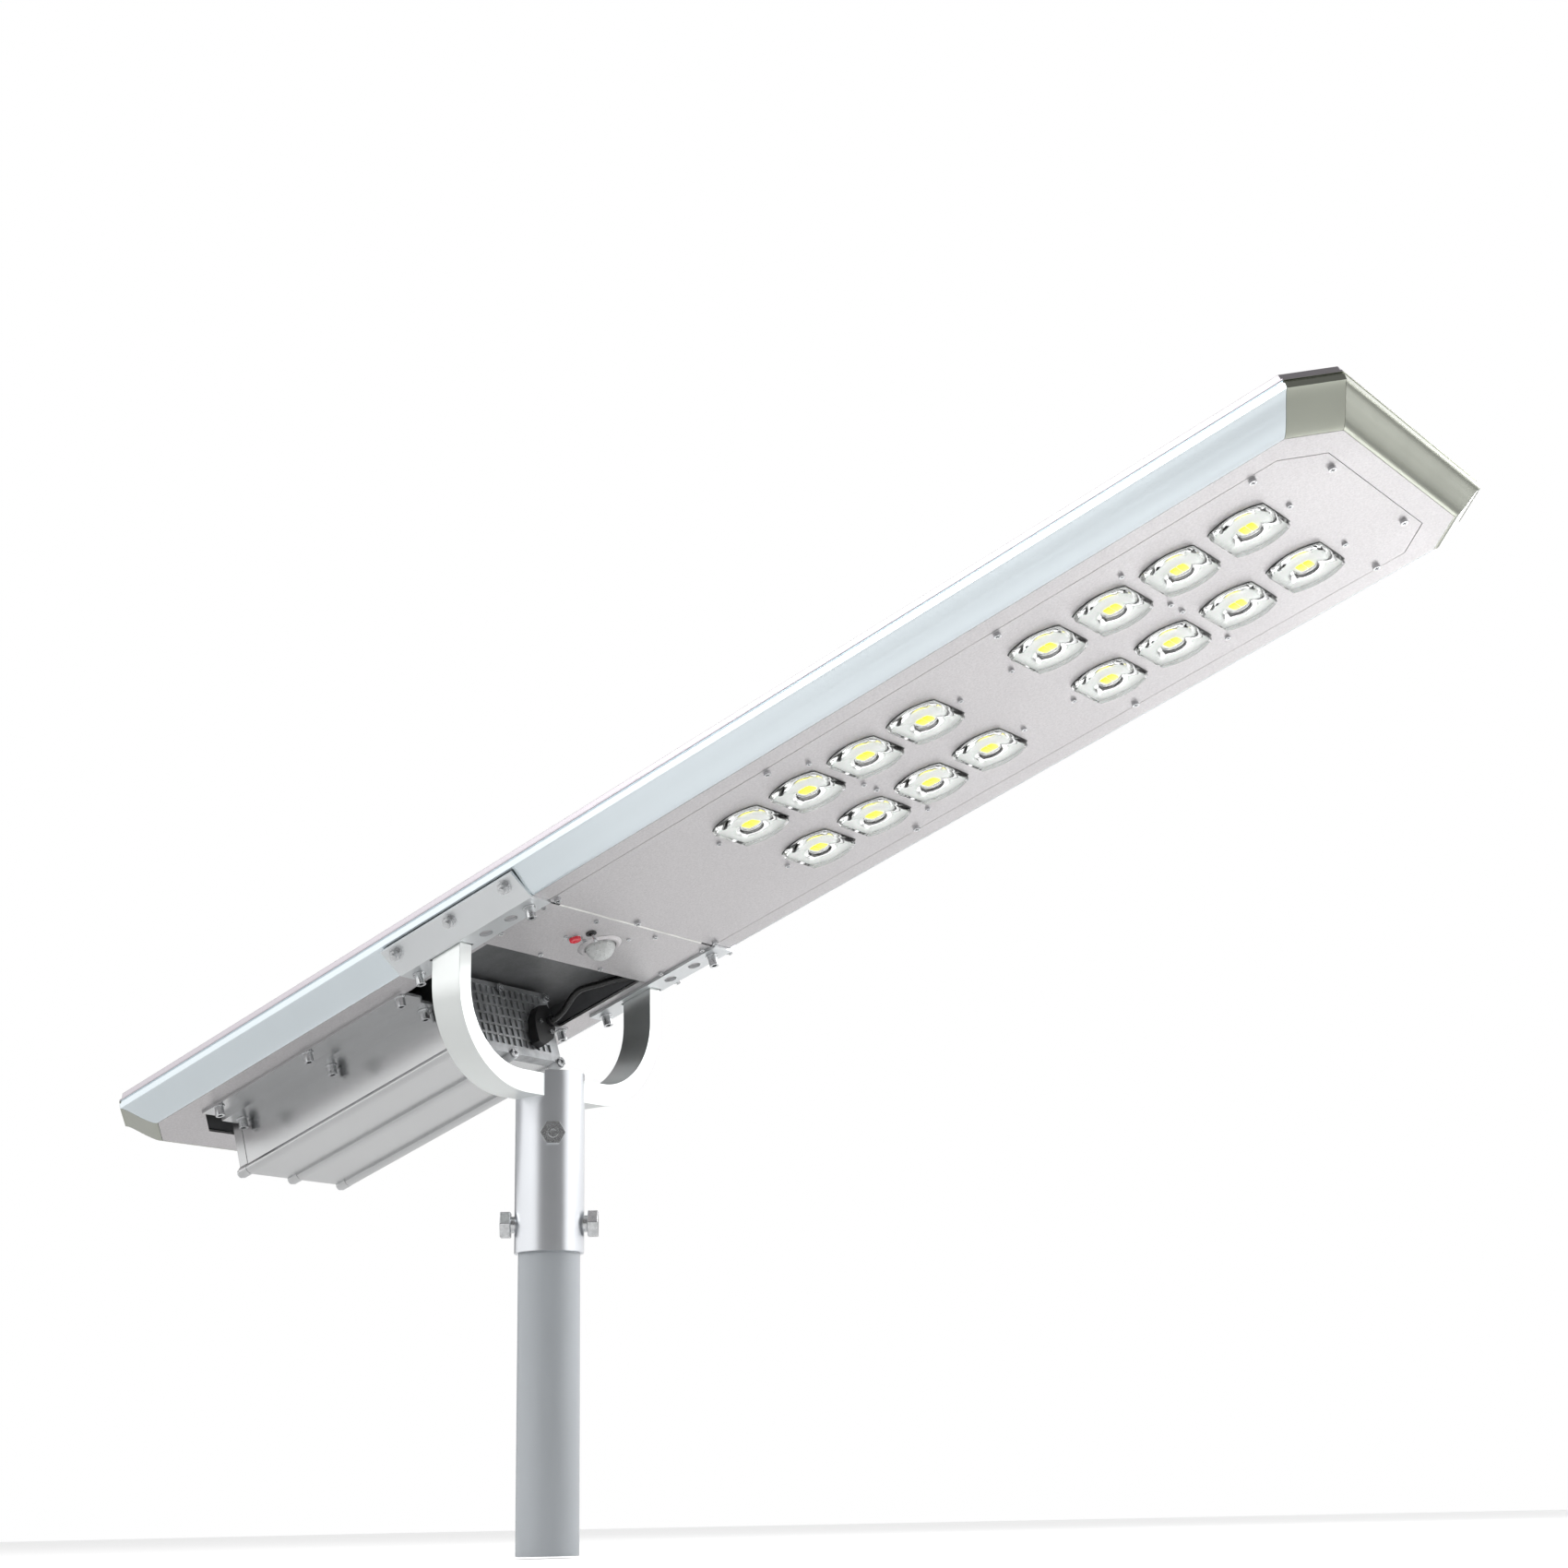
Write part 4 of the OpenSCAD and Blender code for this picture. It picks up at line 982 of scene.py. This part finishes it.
class LAMP_OT_lenses(bpy.types.Operator):
    """Makes the lenses and the LED pads"""

    bl_idname = "lamp.lenses"
    bl_label = "Lenses"

    def execute(self, context):
        make_lenses()
        return {"FINISHED"}


class LAMP_OT_light_boards(bpy.types.Operator):
    """Finishes the LED boards and heat spreaders, and makes the lens gaskets"""

    bl_idname = "lamp.light_boards"
    bl_label = "LED boards"

    def execute(self, context):
        # The white LED boards' finish glows with painted light.
        dress("led_board_front", "led_board_rear", "heat_spreader_front", "heat_spreader_rear")
        make_gaskets()
        return {"FINISHED"}


class LAMP_OT_sensor(bpy.types.Operator):
    """Makes the motion sensor's dome and finishes its ring and board"""

    bl_idname = "lamp.sensor"
    bl_label = "Motion sensor"

    def execute(self, context):
        make_dome()
        rounded("pir_ring", sizes().metal_edge)
        dress("pir_sensor")
        return {"FINISHED"}


class LAMP_OT_switches(bpy.types.Operator):
    """Makes the power button and finishes the switches"""

    bl_idname = "lamp.switches"
    bl_label = "Switches"

    def execute(self, context):
        make_button()
        rounded("button_bezel", sizes().metal_edge / 3)
        rounded("mode_toggle", sizes().metal_edge / 3, "mode_toggle")
        rounded("toggle_bushing", sizes().metal_edge / 2)
        dress("power_switch")
        return {"FINISHED"}


class LAMP_OT_battery(bpy.types.Operator):
    """Rounds and finishes the battery box, its caps and its cells"""

    bl_idname = "lamp.battery"
    bl_label = "Battery box"

    def execute(self, context):
        rounded("battery_box", sizes().metal_edge)
        rounded("battery_rear_cap", sizes().metal_edge)
        rounded("battery_front_cap", sizes().metal_edge / 2, clean=False)
        rounded("battery_cap_screws", sizes().metal_edge)
        dress("battery_cells", "battery_holders", "battery_cap_seals")
        return {"FINISHED"}


class LAMP_OT_connector(bpy.types.Operator):
    """Makes the battery cable and finishes the connector cover and gland"""

    bl_idname = "lamp.connector"
    bl_label = "Connector and cable"

    def execute(self, context):
        rounded("connector_cover", sizes().metal_edge * 2, segments=3)
        rounded("cable_gland", sizes().metal_edge)
        rounded("connector_cover_screws", sizes().metal_edge / 3)
        make_cable()
        return {"FINISHED"}


class LAMP_OT_cavity(bpy.types.Operator):
    """Finishes the inside of the underside's opening and the controller"""

    bl_idname = "lamp.cavity"
    bl_label = "Cavity"

    def execute(self, context):
        dress("cavity_liner", "charge_controller")
        return {"FINISHED"}


class LAMP_OT_panel(bpy.types.Operator):
    """Finishes the solar panel and makes its ribbons"""

    bl_idname = "lamp.panel"
    bl_label = "Solar panel"

    def execute(self, context):
        rounded("panel_frame", sizes().metal_edge)
        dress("solar_glass", "solar_cells", "solar_backsheet", "panel_seal")
        make_ribbons()
        return {"FINISHED"}


STEPS = (LAMP_OT_stage, LAMP_OT_connector, LAMP_OT_pole, LAMP_OT_yoke, LAMP_OT_rails, LAMP_OT_underside,
         LAMP_OT_brackets, LAMP_OT_small_screws, LAMP_OT_lenses, LAMP_OT_light_boards, LAMP_OT_sensor,
         LAMP_OT_switches, LAMP_OT_battery, LAMP_OT_cavity, LAMP_OT_panel)


class LAMP_PT_sidebar(bpy.types.Panel):
    """The lamp's settings and build steps"""

    bl_idname = "LAMP_PT_sidebar"
    bl_label = "Street Lamp"
    bl_space_type = "VIEW_3D"
    bl_region_type = "UI"
    bl_category = "Street Lamp"

    def draw(self, context):
        for group in (context.scene.lamp_sizes, context.scene.lamp_colours, context.scene.lamp_stage):
            box = self.layout.box()
            for key in group.__annotations__:
                box.prop(group, key)
        for step in STEPS:
            self.layout.operator(step.bl_idname)


CLASSES = (LampSizes, LampColours, LampStage) + STEPS + (LAMP_PT_sidebar,)


def register():
    for cls in CLASSES:
        bpy.utils.register_class(cls)
    bpy.types.Scene.lamp_sizes = bpy.props.PointerProperty(type=LampSizes)
    bpy.types.Scene.lamp_colours = bpy.props.PointerProperty(type=LampColours)
    bpy.types.Scene.lamp_stage = bpy.props.PointerProperty(type=LampStage)


def unregister():
    del bpy.types.Scene.lamp_stage
    del bpy.types.Scene.lamp_colours
    del bpy.types.Scene.lamp_sizes
    for cls in reversed(CLASSES):
        bpy.utils.unregister_class(cls)


def main():
    register()
    for step in STEPS:
        area, name = step.bl_idname.split(".")
        getattr(getattr(bpy.ops, area), name)()
    bpy.context.view_layer.update()


if __name__ == "__main__":
    main()
